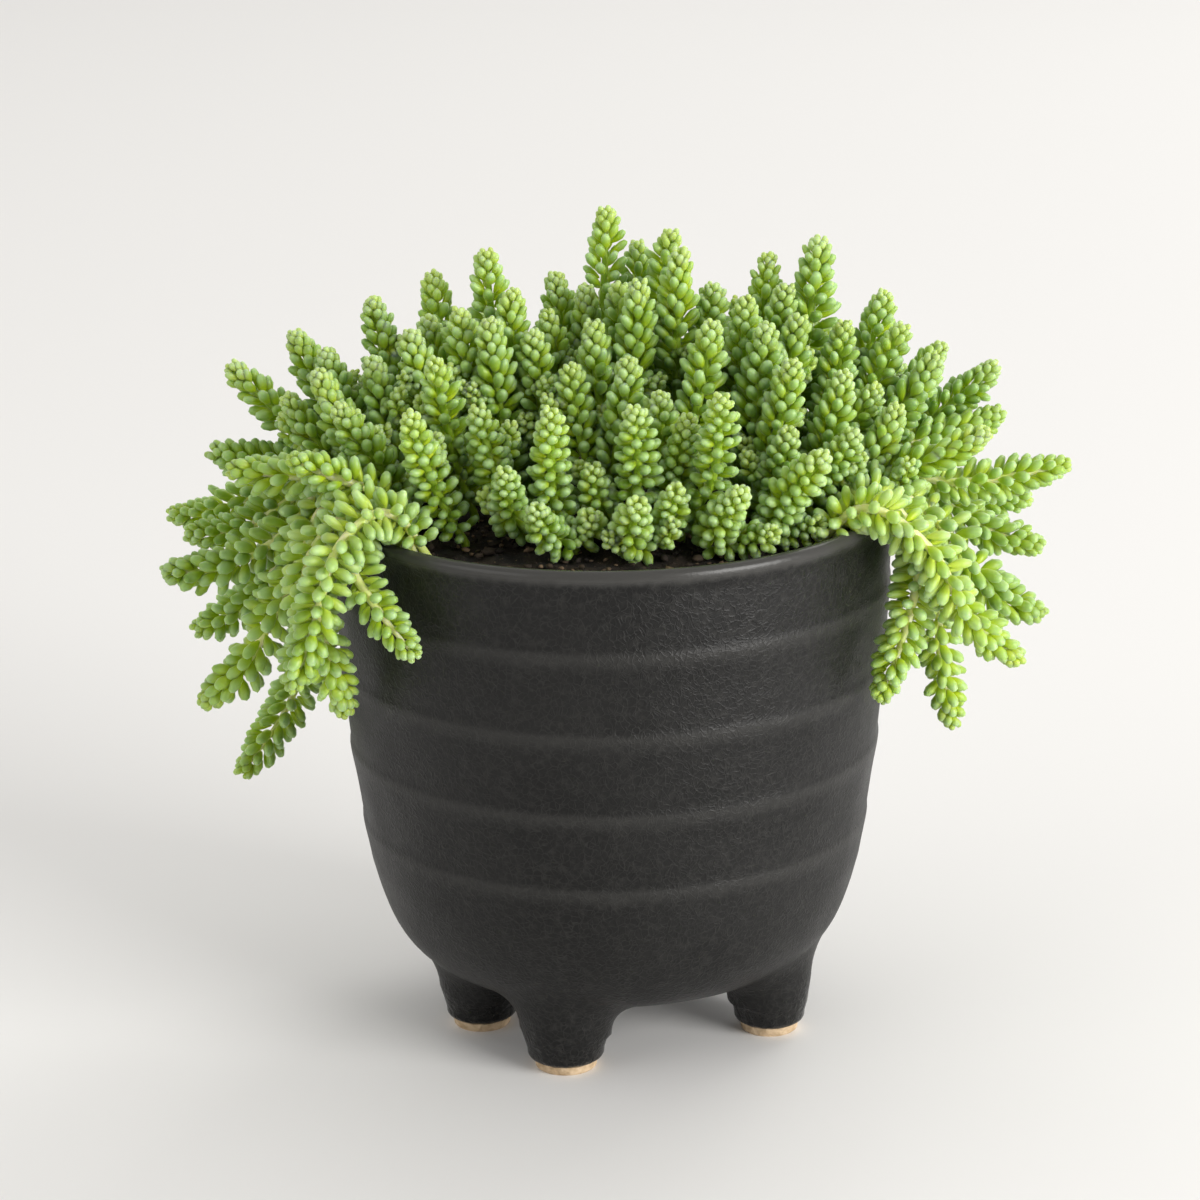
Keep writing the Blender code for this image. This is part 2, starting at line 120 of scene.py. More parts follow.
def wall_radius(height):
    """The wall's outer radius: a straight flare with a slight bulge."""
    share = (height - WALL_FOOT[0]) / (WALL_HEAD[0] - WALL_FOOT[0])
    return WALL_FOOT[1] + (WALL_HEAD[1] - WALL_FOOT[1]) * share + WALL_BULGE * math.sin(math.pi * share)


def ridge_swell(height, angle):
    """How far the throwing ridges stand out: steep above, fading slowly below, and a little uneven."""
    swell = 0.0
    for turn, middle in enumerate(RIDGES):
        off = height - middle - RIDGE_WANDER * math.sin(angle + 2.1 * turn)
        off -= RIDGE_RIPPLE * math.sin(3 * angle + turn)
        width = RIDGE_ABOVE if off > 0 else RIDGE_BELOW
        strength = 0.85 + RIDGE_UNEVEN * math.sin(2 * angle + 1.3 * turn)
        swell += RIDGE_HEIGHT * strength * math.exp(-(off / width) ** 2)
    return swell


def throw(name, outline, sides):
    """Draws a wall up from a disc, ring by ring, and leaves the last ring closed."""
    bpy.ops.object.select_all(action="DESELECT")
    start = outline[0]
    bpy.ops.mesh.primitive_circle_add(
        vertices=sides, radius=start[1] * MM, fill_type="NGON", location=(0, 0, start[0] * MM))
    made = bpy.context.object
    made.name = name
    bpy.ops.object.transform_apply(location=True)
    bpy.ops.object.mode_set(mode="EDIT")
    bpy.ops.mesh.select_all(action="SELECT")
    for (low, before), (high, after) in zip(outline, outline[1:]):
        bpy.ops.mesh.extrude_region_move(TRANSFORM_OT_translate={"value": (0, 0, (high - low) * MM)})
        bpy.ops.transform.resize(value=(after / before, after / before, 1), center_override=(0, 0, 0))
    bpy.ops.mesh.select_all(action="SELECT")
    bpy.ops.mesh.normals_make_consistent(inside=False)
    bpy.ops.object.mode_set(mode="OBJECT")
    return made


belly = [tuple(p) for p in even_points(UNDERSIDE, UNDERSIDE_RINGS)]
wall = [(h, wall_radius(h)) for h in np.arange(WALL_FOOT[0] + 1.0, WALL_HEAD[0] + 0.1, WALL_STEP)]
rim = [tuple(p) for p in even_points(RIM, RIM_RINGS)]
pot = throw("pot_glazed", belly + wall + rim + list(INSIDE), POT_SIDES)
for point in pot.data.vertices:
    x, y, z = point.co / MM
    out = math.hypot(x, y)
    if WALL_FOOT[0] < z < WALL_HEAD[0] + 1.0 and out > wall_radius(z) - 1.0:
        point.co.xy *= 1.0 + ridge_swell(z, math.atan2(y, x)) / out


def belly_height(x, y):
    """How high the pot's underside or belly is above a place on the floor."""
    out = min(math.hypot(x, y), belly[-1][1] - 0.1)
    return float(np.interp(out, [r for _, r in belly], [h for h, _ in belly]))


def pulled_foot(centre, girth, sides=48, blend_steps=9):
    """A round foot whose side runs into the belly in a soft hollow curve."""
    cx, cy = centre
    top = FOOT_TOP * girth
    rings = [[] for _ in range(len(FOOT_SIDE) + blend_steps + 1)]
    for k in range(sides):
        angle = 2 * math.pi * k / sides
        dx, dy = math.cos(angle), math.sin(angle)
        for ring, (height, out) in enumerate(FOOT_SIDE):
            rings[ring].append((cx + girth * out * dx, cy + girth * out * dy, height))
        corner = Vector((top, belly_height(cx + top * dx, cy + top * dy)))
        low = Vector((top - FOOT_SLOPE, max(FOOT_SIDE[-1][0] + BLEND_LEAST, corner[1] - BLEND_DROP)))
        reach = top + FOOT_BLEND
        while math.hypot(cx + reach * dx, cy + reach * dy) > BLEND_EDGE:
            reach -= BLEND_TRIM
        high = Vector((reach, belly_height(cx + reach * dx, cy + reach * dy) + BLEND_LIFT))
        for step in range(blend_steps):
            t = step / (blend_steps - 1)
            out, height = (1 - t) ** 2 * low + 2 * t * (1 - t) * corner + t * t * high
            rings[len(FOOT_SIDE) + step].append((cx + out * dx, cy + out * dy, height))
        x, y = cx + FOOT_CORE * dx, cy + FOOT_CORE * dy
        rings[-1].append((x, y, belly_height(x, y) + FOOT_SUNK))
    points = [tuple(c * MM for c in p) for ring in rings for p in ring]
    faces = [tuple(range(sides))[::-1], tuple(range(len(points) - sides, len(points)))]
    for ring in range(len(rings) - 1):
        for k in range(sides):
            low, after = ring * sides, (k + 1) % sides
            faces.append((low + k, low + after, low + sides + after, low + sides + k))
    mesh = bpy.data.meshes.new("foot")
    mesh.from_pydata(points, [], faces)
    foot = bpy.data.objects.new("foot", mesh)
    bpy.context.collection.objects.link(foot)
    return foot


# The feet and the wall are one fired piece, so their meshes are united
feet = [pulled_foot(centre, girth) for centre, girth in zip(FEET, FOOT_GIRTH)]
bpy.ops.object.select_all(action="DESELECT")
pot.select_set(True)
bpy.context.view_layer.objects.active = pot
for foot in feet:
    union = pot.modifiers.new("foot", "BOOLEAN")
    union.operation = "UNION"
    union.solver = "EXACT"
    union.object = foot
    bpy.ops.object.modifier_apply(modifier="foot")
    bpy.data.objects.remove(foot)
bpy.ops.object.shade_smooth_by_angle(angle=math.radians(POT_CREASE))


def effect_group(name, inputs, outputs):
    """An empty shader group with named sockets, its input and output nodes in place."""
    group = bpy.data.node_groups.new(name, "ShaderNodeTree")
    for label, kind, value in inputs:
        socket = group.interface.new_socket(name=label, in_out="INPUT", socket_type="NodeSocket" + kind)
        if value is not None:
            socket.default_value = value
    for label, kind in outputs:
        group.interface.new_socket(name=label, in_out="OUTPUT", socket_type="NodeSocket" + kind)
    return group, group.nodes.new("NodeGroupInput"), group.nodes.new("NodeGroupOutput")


def add_node(tree, kind, links=(), **settings):
    """One shader node with its settings, and its inputs linked or set."""
    node = tree.nodes.new("ShaderNode" + kind)
    for key, value in settings.items():
        setattr(node, key, value)
    for socket, source in dict(links).items():
        if isinstance(source, bpy.types.NodeSocket):
            tree.links.new(source, node.inputs[socket])
        else:
            node.inputs[socket].default_value = source
    return node


def ranged(tree, value, start, end, low=0.0, high=1.0, **settings):
    """A value between start and end, brought to between low and high."""
    node = add_node(tree, "MapRange", {
        "Value": value, "From Min": start, "From Max": end, "To Min": low, "To Max": high}, **settings)
    return node.outputs["Result"]


def maths(tree, operation, *values):
    """What one maths node makes of its sockets or numbers."""
    return add_node(tree, "Math", dict(enumerate(values)), operation=operation).outputs[0]


def grained(tree, place, scale, detail=0.0):
    """Soft noise: so many waves to the metre, with so many finer layers."""
    return add_node(tree, "TexNoise", {"Vector": place, "Scale": scale, "Detail": detail}).outputs


def mixed(tree, factor, first, second):
    """A value between a first and a second one."""
    return add_node(tree, "Mix", {0: factor, 2: first, 3: second}, data_type="FLOAT").outputs[0]


# Blotches: soft uneven patches from fine noise, which the glaze, the soil and the leaves all use
blotches, given, result = effect_group(
    "blotches",
    [("Place", "Vector", None), ("Scale", "Float", 40.0), ("Low", "Float", 0.4), ("High", "Float", 0.6)],
    [("Mask", "Float")])
cloud = add_node(blotches, "TexNoise", {
    "Vector": given.outputs["Place"], "Scale": given.outputs["Scale"], "Detail": 2.0, "Roughness": 0.55})
spread = add_node(blotches, "MapRange", {
    "Value": cloud.outputs["Fac"], "From Min": given.outputs["Low"], "From Max": given.outputs["High"]})
blotches.links.new(spread.outputs["Result"], result.inputs["Mask"])


def blotch(tree, place, scale, low=0.35, high=0.65):
    """The blotches group in a material, at one scale, fading in between two levels."""
    node = tree.nodes.new("ShaderNodeGroup")
    node.node_tree = blotches
    tree.links.new(place, node.inputs["Place"])
    node.inputs["Scale"].default_value = scale
    node.inputs["Low"].default_value = low
    node.inputs["High"].default_value = high
    return node.outputs["Mask"]


def blend(tree, factor, first, second, mode="MIX"):
    """A first colour with a second one laid over it."""
    node = add_node(tree, "Mix", data_type="RGBA", blend_type=mode)
    for socket, source in ((0, factor), (6, first), (7, second)):
        if isinstance(source, bpy.types.NodeSocket):
            tree.links.new(source, node.inputs[socket])
        else:
            node.inputs[socket].default_value = source
    return node.outputs[2]


# The glaze is charcoal with paler flecks and fine crackle. Over each ridge and on the lip a pale line is
# painted, partly for glaze that thins there and partly as a painted highlight where light catches the
# ridge's upper side and the lip's rounded edge. Low on the feet the glaze gathers, glossy and puckered.
# Under its edge the clay is bare.
CHARCOAL = ((0.0035, 0.0034, 0.0032, 1), (0.0070, 0.0068, 0.0065, 1))
FLECK = (0.015, 0.0145, 0.0135, 1)
CRACKLE = (0.0160, 0.0157, 0.0146, 1)
# The pale tone of thinned glaze, also a painted highlight over the ridges and the lip
THIN_GLAZE_AND_HIGHLIGHT = (0.046, 0.045, 0.042, 1)
BARE_CLAY = ((0.45, 0.325, 0.195, 1), (0.62, 0.475, 0.315, 1))
TONE_SCALE, FLECK_SCALE, CLAY_SCALE, GLOSS_SCALE = 38.0, 420.0, 500.0, 60.0
DRIFT_SCALE, GRAIN_SCALE = 420.0, 2200.0
CRACK_SCALE, CRACK_WIDTH, CRACK_DEPTH = 540.0, 0.085, 0.45
FOLD_SCALE, FOLD_WIDTH, GATHER_DEPTH = 560.0, 0.10, 6.5
PATCH_SCALE = 300.0
CRACK_SWIRL, EDGE_SWIRL, BAND_SWIRL = 0.0016, 0.0009, 0.0012
GRAIN_DEPTH = 0.30
GLAZE_EDGE, EDGE_BARE, EDGE_COVERED = 2.6, 0.25, 0.55
# How the pale line of thin glaze and painted highlight rises and fades around each ridge and on the lip
RIDGE_THIN_GLAZE_AND_HIGHLIGHT = ((-4.0, 0.0), (0.9, 0.36), (2.6, 0.0))
LIP_THIN_GLAZE_AND_HIGHLIGHT = ((142.2, 0.0), (144.6, 1.0))
BAND_TOP = 150
GATHERED = (18.0, 6.0)
LIP_GLOSS_FROM = (141.5, 143.5)
DRY_ROUGH, GLOSSY_ROUGH, LIP_ROUGH, CLAY_ROUGH = (0.41, 0.49), 0.22, 0.25, 0.9
GLAZE_RELIEF, LIP_RELIEF = 0.31, 0.06
glaze = bpy.data.materials.new("charcoal_glaze")
glaze.use_nodes = True
tree = glaze.node_tree
shader = tree.nodes["Principled BSDF"]
place = add_node(tree, "TexCoord").outputs["Object"]
height = add_node(tree, "SeparateXYZ", {"Vector": place}).outputs["Z"]
tone = blend(tree, blotch(tree, place, TONE_SCALE), *CHARCOAL)
tone = blend(tree, blotch(tree, place, FLECK_SCALE, 0.5, 0.75), tone, FLECK)
drift = grained(tree, place, DRIFT_SCALE)
swirl = add_node(tree, "VectorMath", {0: drift["Color"], 1: (CRACK_SWIRL,) * 3, 2: place},
                 operation="MULTIPLY_ADD").outputs[0]
cracks = add_node(tree, "TexVoronoi", {"Vector": swirl, "Scale": CRACK_SCALE}, feature="DISTANCE_TO_EDGE")
cracks = ranged(tree, cracks.outputs["Distance"], 0.0, CRACK_WIDTH, 1.0, 0.0, interpolation_type="SMOOTHSTEP")
folds = grained(tree, swirl, FOLD_SCALE)["Fac"]
wrinkles = maths(tree, "ABSOLUTE", maths(tree, "SUBTRACT", folds, 0.5))
wrinkles = ranged(tree, wrinkles, 0.0, FOLD_WIDTH, 1.0, 0.0, interpolation_type="SMOOTHSTEP")
edge = maths(tree, "MULTIPLY_ADD", drift["Fac"], EDGE_SWIRL, height)
bare = ranged(tree, edge, (GLAZE_EDGE + EDGE_COVERED) * MM, (GLAZE_EDGE + EDGE_BARE) * MM)
patchy = blotch(tree, place, PATCH_SCALE, 0.25, 0.55)
tone = blend(tree, maths(tree, "MULTIPLY", cracks, patchy), tone, CRACKLE)
rise = maths(tree, "MULTIPLY_ADD", drift["Fac"], BAND_SWIRL, height)
# Painted highlight and thin glaze: a pale band on the upper side of each ridge and over the lip
thin_glaze_and_highlight = add_node(tree, "ValToRGB", {"Fac": ranged(tree, rise, 0.0, BAND_TOP * MM)})
thin_glaze_and_highlight.color_ramp.interpolation = "EASE"
thin_glaze_and_highlight.color_ramp.elements.remove(thin_glaze_and_highlight.color_ramp.elements[1])
ridge_glaze_and_highlight = [(ridge + off, shown) for ridge in RIDGES for off, shown in RIDGE_THIN_GLAZE_AND_HIGHLIGHT]
for at, shown in ridge_glaze_and_highlight + list(LIP_THIN_GLAZE_AND_HIGHLIGHT):
    thin_glaze_and_highlight.color_ramp.elements.new(at / BAND_TOP).color = (shown, shown, shown, 1)
tone = blend(tree, thin_glaze_and_highlight.outputs["Color"], tone, THIN_GLAZE_AND_HIGHLIGHT)
clay = blend(tree, blotch(tree, place, CLAY_SCALE), *BARE_CLAY)
tree.links.new(blend(tree, bare, tone, clay), shader.inputs["Base Color"])
low_glaze = ranged(tree, height, GATHERED[0] * MM, GATHERED[1] * MM)
on_lip = ranged(tree, height, LIP_GLOSS_FROM[0] * MM, LIP_GLOSS_FROM[1] * MM)
rough_glaze = ranged(tree, blotch(tree, place, GLOSS_SCALE), 0.0, 1.0, *DRY_ROUGH)
rough_glaze = mixed(tree, low_glaze, rough_glaze, GLOSSY_ROUGH)
rough_glaze = mixed(tree, on_lip, rough_glaze, LIP_ROUGH)
tree.links.new(mixed(tree, bare, rough_glaze, CLAY_ROUGH), shader.inputs["Roughness"])
relief = maths(tree, "MULTIPLY_ADD", cracks, CRACK_DEPTH, maths(tree, "MULTIPLY", wrinkles, patchy))
relief = maths(tree, "MULTIPLY_ADD", maths(tree, "MULTIPLY", folds, low_glaze), GATHER_DEPTH, relief)
relief = maths(tree, "MULTIPLY_ADD", grained(tree, place, GRAIN_SCALE, 1.0)["Fac"], GRAIN_DEPTH, relief)
firm = ranged(tree, on_lip, 0.0, 1.0, GLAZE_RELIEF, LIP_RELIEF)
bump = add_node(tree, "Bump", {"Height": relief, "Strength": firm, "Distance": 0.0003})
tree.links.new(bump.outputs["Normal"], shader.inputs["Normal"])
shader.inputs["Specular IOR Level"].default_value = 0.27
pot.data.materials.clear()
pot.data.materials.append(glaze)
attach(pot, "root")
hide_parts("pot")

# The potting mix is dark bark and peat. It fills the pot to a few millimetres under the rim, rises a
# little to the middle, and loose crumbs and paler bits of bark lie on it.
SOIL_RIM = 138.5
SOIL_RISE = 3.0
SOIL_EDGE = 68.7
SOIL_BOWL = ((20.8, 19.0), (22.8, 41.4), (33.3, 55.3), (60.3, 61.7))
SOIL_TOP = (69.3, 1.2)
SOIL_TOP_RINGS = 44
SOIL_SIDES = 150
SOIL_LUMPS = 1.1
LUMP_SCALE, CLOD_SCALE = 0.22, 0.9
LUMPS_ABOVE = 120
LUMPS_WITHIN = 69.2
CRUMBS = 1200
FINE_CRUMB = (0.7, 1.6)
BARK_CHIP = (1.6, 3.2)
FINE_SHARE = 0.8
CRUMB_REACH = 69.0
CRUMB_TILT = (-0.9, 0.9)
CRUMB_LONG, CRUMB_FLAT = (0.8, 1.8), (0.5, 0.9)
CRUMB_LIFT, CRUMB_SEAT = 0.5, 0.25
MIX_TONES = ((0.010, 0.007, 0.005, 1), (0.040, 0.026, 0.016, 1))
MIX_FLECK = (0.16, 0.11, 0.065, 1)
BARK_TONES = ((0.014, 0.009, 0.006, 1), (0.24, 0.16, 0.09, 1))
BARK_STAIN = (0.02, 0.013, 0.008, 1)


def soil_height(x, y):
    """How high the smooth soil stands, before its lumps."""
    return SOIL_RIM + SOIL_RISE * (1.0 - (x * x + y * y) / (SOIL_EDGE ** 2))


top_rings = [(soil_height(r, 0), r) for r in np.linspace(*SOIL_TOP, SOIL_TOP_RINGS)]
soil = throw("soil_lumpy", list(SOIL_BOWL) + top_rings, SOIL_SIDES)
for point in soil.data.vertices:
    x, y, z = point.co / MM
    if z > LUMPS_ABOVE and math.hypot(x, y) < LUMPS_WITHIN:
        lump = noise.fractal(Vector((x, y, 0)) * LUMP_SCALE, 0.6, 2.2, 4)
        lump += 0.5 * noise.noise(Vector((x, y, 7)) * CLOD_SCALE)
        point.co.z += SOIL_LUMPS * lump * MM
bpy.ops.object.shade_smooth()


def stacked(name, shape, frames, channels=None):
    """One mesh from many copies of a shape, each placed by a 3x4 matrix in millimetres."""
    points = np.array([v.co for v in shape.vertices])
    placed = np.einsum("nij,kj->nki", frames[:, :, :3], points) + frames[:, None, :, 3]
    count = len(points)
    faces = [tuple(p.vertices) for p in shape.polygons]
    mesh = bpy.data.meshes.new(name)
    every = [tuple(v + k * count for v in face) for k in range(len(frames)) for face in faces]
    mesh.from_pydata((placed.reshape(-1, 3) * MM).tolist(), [], every)
    if channels is not None:
        marks = mesh.color_attributes.new("leaf_marks", "FLOAT_COLOR", "POINT")
        marks.data.foreach_set("color", channels.astype(np.float32).ravel())
    mesh.polygons.foreach_set("use_smooth", [True] * len(mesh.polygons))
    return mesh


bpy.ops.object.select_all(action="DESELECT")
bpy.ops.mesh.primitive_ico_sphere_add(subdivisions=1, radius=0.5, location=(0, 0, 0))
crumb = bpy.context.object
rough = random.Random(3)
for point in crumb.data.vertices:
    point.co *= rough.uniform(0.75, 1.25)
frames, shades = [], []
for _ in range(CRUMBS):
    out, angle = CRUMB_REACH * math.sqrt(rough.random()), rough.uniform(0, 2 * math.pi)
    x, y = out * math.cos(angle), out * math.sin(angle)
    size = rough.uniform(*FINE_CRUMB) if rough.random() < FINE_SHARE else rough.uniform(*BARK_CHIP)
    turn = Matrix.Rotation(rough.uniform(0, 6.28), 3, "Z")
    turn = turn @ Matrix.Rotation(rough.uniform(*CRUMB_TILT), 3, "X")
    shape = Matrix.Diagonal((size * rough.uniform(*CRUMB_LONG), size, size * rough.uniform(*CRUMB_FLAT)))
    lift = soil_height(x, y) + CRUMB_LIFT + CRUMB_SEAT * size
    frames.append(np.hstack([np.array(turn @ shape), [[x], [y], [lift]]]))
    shades.append(rough.random() ** 2.2)
shades = np.repeat(shades, len(crumb.data.vertices))
crumb_mesh = stacked("soil_crumbs", crumb.data, np.array(frames), np.stack([shades] * 4, 1))
bpy.data.objects.remove(crumb)
crumbs = bpy.data.objects.new("soil_crumbs", crumb_mesh)
bpy.context.collection.objects.link(crumbs)

earth = bpy.data.materials.new("potting_mix")
earth.use_nodes = True
tree = earth.node_tree
shader = tree.nodes["Principled BSDF"]
place = add_node(tree, "TexCoord").outputs["Object"]
dark = blend(tree, blotch(tree, place, 160.0), *MIX_TONES)
bits = add_node(tree, "TexVoronoi", {"Vector": place, "Scale": 700.0}).outputs["Distance"]
few = maths(tree, "MULTIPLY", ranged(tree, bits, 0.22, 0.10), blotch(tree, place, 200.0, 0.5, 0.6))
tree.links.new(blend(tree, few, dark, MIX_FLECK), shader.inputs["Base Color"])
shader.inputs["Roughness"].default_value = 0.92
grit = add_node(tree, "TexNoise", {"Vector": place, "Scale": 900.0, "Detail": 5.0, "Roughness": 0.7})
bump = add_node(tree, "Bump", {"Height": grit.outputs["Fac"], "Strength": 0.8, "Distance": 0.0012})
tree.links.new(bump.outputs["Normal"], shader.inputs["Normal"])
soil.data.materials.clear()
soil.data.materials.append(earth)

bark = bpy.data.materials.new("bark_crumbs")
bark.use_nodes = True
tree = bark.node_tree
shader = tree.nodes["Principled BSDF"]
place = add_node(tree, "TexCoord").outputs["Object"]
shade = add_node(tree, "Attribute", attribute_name="leaf_marks").outputs["Fac"]
brown = blend(tree, shade, *BARK_TONES)
stained = blend(tree, blotch(tree, place, 900.0), brown, BARK_STAIN, "MULTIPLY")
tree.links.new(blend(tree, 0.5, stained, brown), shader.inputs["Base Color"])
shader.inputs["Roughness"].default_value = 0.88
crumbs.data.materials.append(bark)
for piece in (soil, crumbs):
    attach(piece, "root")
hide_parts("soil")

# The sprigs are a trailing stonecrop's stems, set close with plump bead leaves. Upright ones crowd
# the soil and outer ones trail over the rim. Each sprig's stalk reaches a little way into the soil, and a
# second stem branches from its stalk. The stems lean apart by the same rule as the solids they stand for.
UPRIGHT_RADIUS = 5.2
TRAILER_RADIUS = 5.3
STALK_RADIUS = 1.2
CLEARANCE = 0.3
LEAFY_LENGTH = {"front": 38.0, "middle": 24.0, "back": 28.0, "rear": 27.0}
ROOT_SPREAD = 0.74
ROOT_LIMIT = 55.0
TRAILER_ROOT = 62.5
ROOT_DEPTH = 6.5
ROOT_LIFT = 1.2
ROOT_BARE = 3.0
FORK_BARE = 2.5
TRAILER_BARE = 14.0
LEAF_OVERHANG = 1.5
KNOTS = 12
FORK = 1
KIN_SHARE = 3
SETTLE_ROUNDS = 150
LOOK_AGAIN = 5
NEARBY = 12.0
NEIGHBOUR_GAP = 0.8
SOIL_ROUGHNESS = 0.5
WALL_CORE = 72.6
WALL_HALF = 3.1
WALL_LOW = (95.0, 69.5)
LIP_CORE = 143.5

# Where the tips of each sprig's stems are: x, y and height
UPRIGHTS = (
    ("front", ((7, -57, 160), (16, -52, 162))),
    ("front", ((33, -55, 162), (41, -52, 150))),
    ("front", ((-19, -58, 159), (-6, -48, 154))),
    ("front", ((54, -48, 169), (53, -42, 151))),
    ("front", ((-3, -38, 164), (6, -42, 180))),
    ("front", ((-15, -42, 180),)),
    ("front", ((20, -36, 176), (28, -45, 184))),
    ("front", ((-51, -40, 179),)),
    ("front", ((46, -30, 171), (63, -25, 169))),
    ("front", ((-34, -30, 178), (-27, -48, 166))),
    ("middle", ((-45, -20, 188), (-52, 0, 191))),
    ("middle", ((-10, -15, 185), (5, -18, 187))),
    ("middle", ((13, -28, 180), (27, -12, 195))),
    ("middle", ((47, -22, 187), (41, -12, 194))),
    ("middle", ((61, -15, 182), (71, -5, 175))),
    ("middle", ((-62, -5, 185), (-76, -10, 183))),
    ("middle", ((-70, -28, 178),)),
    ("middle", ((-85, -3, 175), (-75, 6, 185))),
    ("middle", ((-20, -2, 191), (-17, 7, 194))),
    ("middle", ((-31, -5, 195), (-39, 2, 196))),
    ("middle", ((-4, -5, 194), (8, -2, 204))),
    ("middle", ((3, 8, 201), (-6, 15, 199))),
    ("middle", ((36, -2, 199), (50, -2, 194))),
    ("middle", ((74, -10, 172), (99, -13, 165))),
    ("middle", ((62, 3, 191), (87, 5, 181))),
    ("back", ((0, 30, 217), (-14, 22, 201))),
    ("back", ((8, 38, 206), (17, 22, 212))),
    ("back", ((19, 8, 210), (28, 15, 199))),
    ("back", ((-32, 15, 209), (-25, 7, 200))),
    ("back", ((-47, 25, 201), (-48, 12, 192))),
    ("back", ((-63, 22, 195),)),
    ("back", ((-84, 18, 187), (-101, 15, 179))),
    ("back", ((43, 20, 206), (47, 8, 200))),
    ("back", ((56, 15, 211),)),
    ("back", ((74, 20, 195), (78, 8, 189))),
    ("back", ((89, 15, 182), (104, 20, 175))),
    ("rear", ((-10, 48, 188), (4, 66, 168))),
    ("rear", ((14, 52, 186), (28, 62, 170))),
    ("rear", ((-34, 42, 186), (-22, 62, 170))),
    ("rear", ((36, 40, 188), (50, 56, 166))),
    ("rear", ((-55, 40, 180), (-46, 58, 164))),
    ("rear", ((58, 36, 184), (70, 50, 158))),
    ("rear", ((-75, 36, 168), (-66, 50, 156))),
    ("rear", ((80, 34, 172),)),
)

# The stems that trail over the rim: each one's way from its root to its tip, as x, y and height
TRAILERS = (
    ("left", (((-54, 7), (-68, 9, 152), (-85, 9, 153), (-97, 9, 154), (-107, 9, 157)),)),
    ("left", (((-50, -26), (-58, -32, 152), (-68, -37, 157), (-76, -38, 162), (-82, -38, 167)),
              ((-52, -20), (-66, -22, 152), (-80, -23, 156), (-91, -23, 158), (-99, -23, 160)))),
    ("left", (((-50, 26), (-66, 26, 154), (-84, 28, 142), (-104, 33, 132), (-122, 36, 131)),
              ((-52, 16), (-68, 16, 153), (-84, 17, 141), (-100, 18, 131), (-116, 21, 130)))),
    ("left", (((-55, -4), (-70, -9, 151), (-85, -13, 137), (-102, -11, 129), (-119, -9, 128)),)),
    ("left", (((-50, 27), (-68, 30, 152), (-84, 25, 132), (-98, 26, 110), (-116, 31, 99)),
              ((-48, 36), (-62, 45, 152), (-76, 42, 128), (-78, 35, 100), (-88, 30, 77), (-104, 24, 59)))),
    ("left", (((-55, -14), (-70, -21, 149), (-82, -21, 128), (-96, -14, 104), (-110, -8, 91)),)),
    ("left", (((-42, -38), (-55, -47, 154), (-66, -54, 147), (-73, -57, 128), (-82, -55, 110)),)),
    ("left", (((-44, -32), (-57, -41, 150), (-67, -51, 141), (-61, -60, 133), (-49, -65, 121)),
              ((-54, -24), (-66, -33, 151), (-77, -39, 137), (-73, -42, 117), (-69, -40, 98)))),
    ("right", (((54, 2), (70, -3, 151), (87, -5, 147), (104, -2, 148), (122, 4, 151)),
               ((54, 6), (70, 9, 155), (84, 12, 158), (96, 13, 160), (105, 12, 164)))),
    ("right", (((50, 29), (66, 28, 152), (86, 27, 142), (101, 27, 136), (115, 27, 135)),
               ((54, 13), (69, 11, 152), (84, 10, 140), (101, 12, 129), (117, 15, 125)))),
    ("right", (((53, -13), (69, -16, 151), (84, -14, 140), (99, -7, 120), (115, -3, 111)),
               ((54, -3), (72, -3, 151), (84, -1, 128), (87, 2, 100), (92, 5, 77)))),
    ("right", (((46, -34), (62, -42, 152), (78, -41, 141), (90, -36, 121), (106, -31, 107)),)),
    ("right", (((54, -21), (69, -28, 151), (80, -32, 137), (76, -37, 118), (68, -41, 100)),)),
)


def length_of(points):
    """How long the line through the points is."""
    return float(np.linalg.norm(np.diff(points, axis=0), axis=1).sum())


def fullness(share):
    """How wide the leaves stand at a share of the leafy length: full in the middle, slim at the tip."""
    return np.interp(share, (0.0, 0.15, 0.6, 0.85, 1.0), (0.82, 1.0, 1.0, 0.86, 0.62))


class Stem:
    """One leafy stem: its knots from the soil or its fork to its tip, and where its leaves start."""

    def __init__(self, knots, radius, leafy, root_limit, parent=None, front=False):
        self.knots = even_points(knots, KNOTS)
        self.aim = self.knots.copy()
        self.radius = radius
        self.leafy = leafy
        self.root_limit = root_limit
        self.parent = parent
        self.front = front

    def reach(self):
        """How far leaves or bare stalk reach from each knot."""
        length = length_of(self.knots)
        start = max(FORK_BARE if self.parent else ROOT_BARE, length - self.leafy)
        along = np.linspace(0, length, KNOTS)
        full = self.radius * fullness((along - start) / (length - start))
        return np.where(along < start - LEAF_OVERHANG, STALK_RADIUS, full)


def upright_route(tip, root):
    """From the root up, leaning out to the tip and growing straighter towards it."""
    low = np.array((root[0], root[1], soil_height(*root) + ROOT_LIFT))
    high = np.array(tip, float)
    middle = np.array((*(0.35 * low[:2] + 0.65 * high[:2]), 0.58 * low[2] + 0.42 * high[2]))
    return [(1 - t) ** 2 * low + 2 * t * (1 - t) * middle + t * t * high for t in np.linspace(0, 1, 7)]


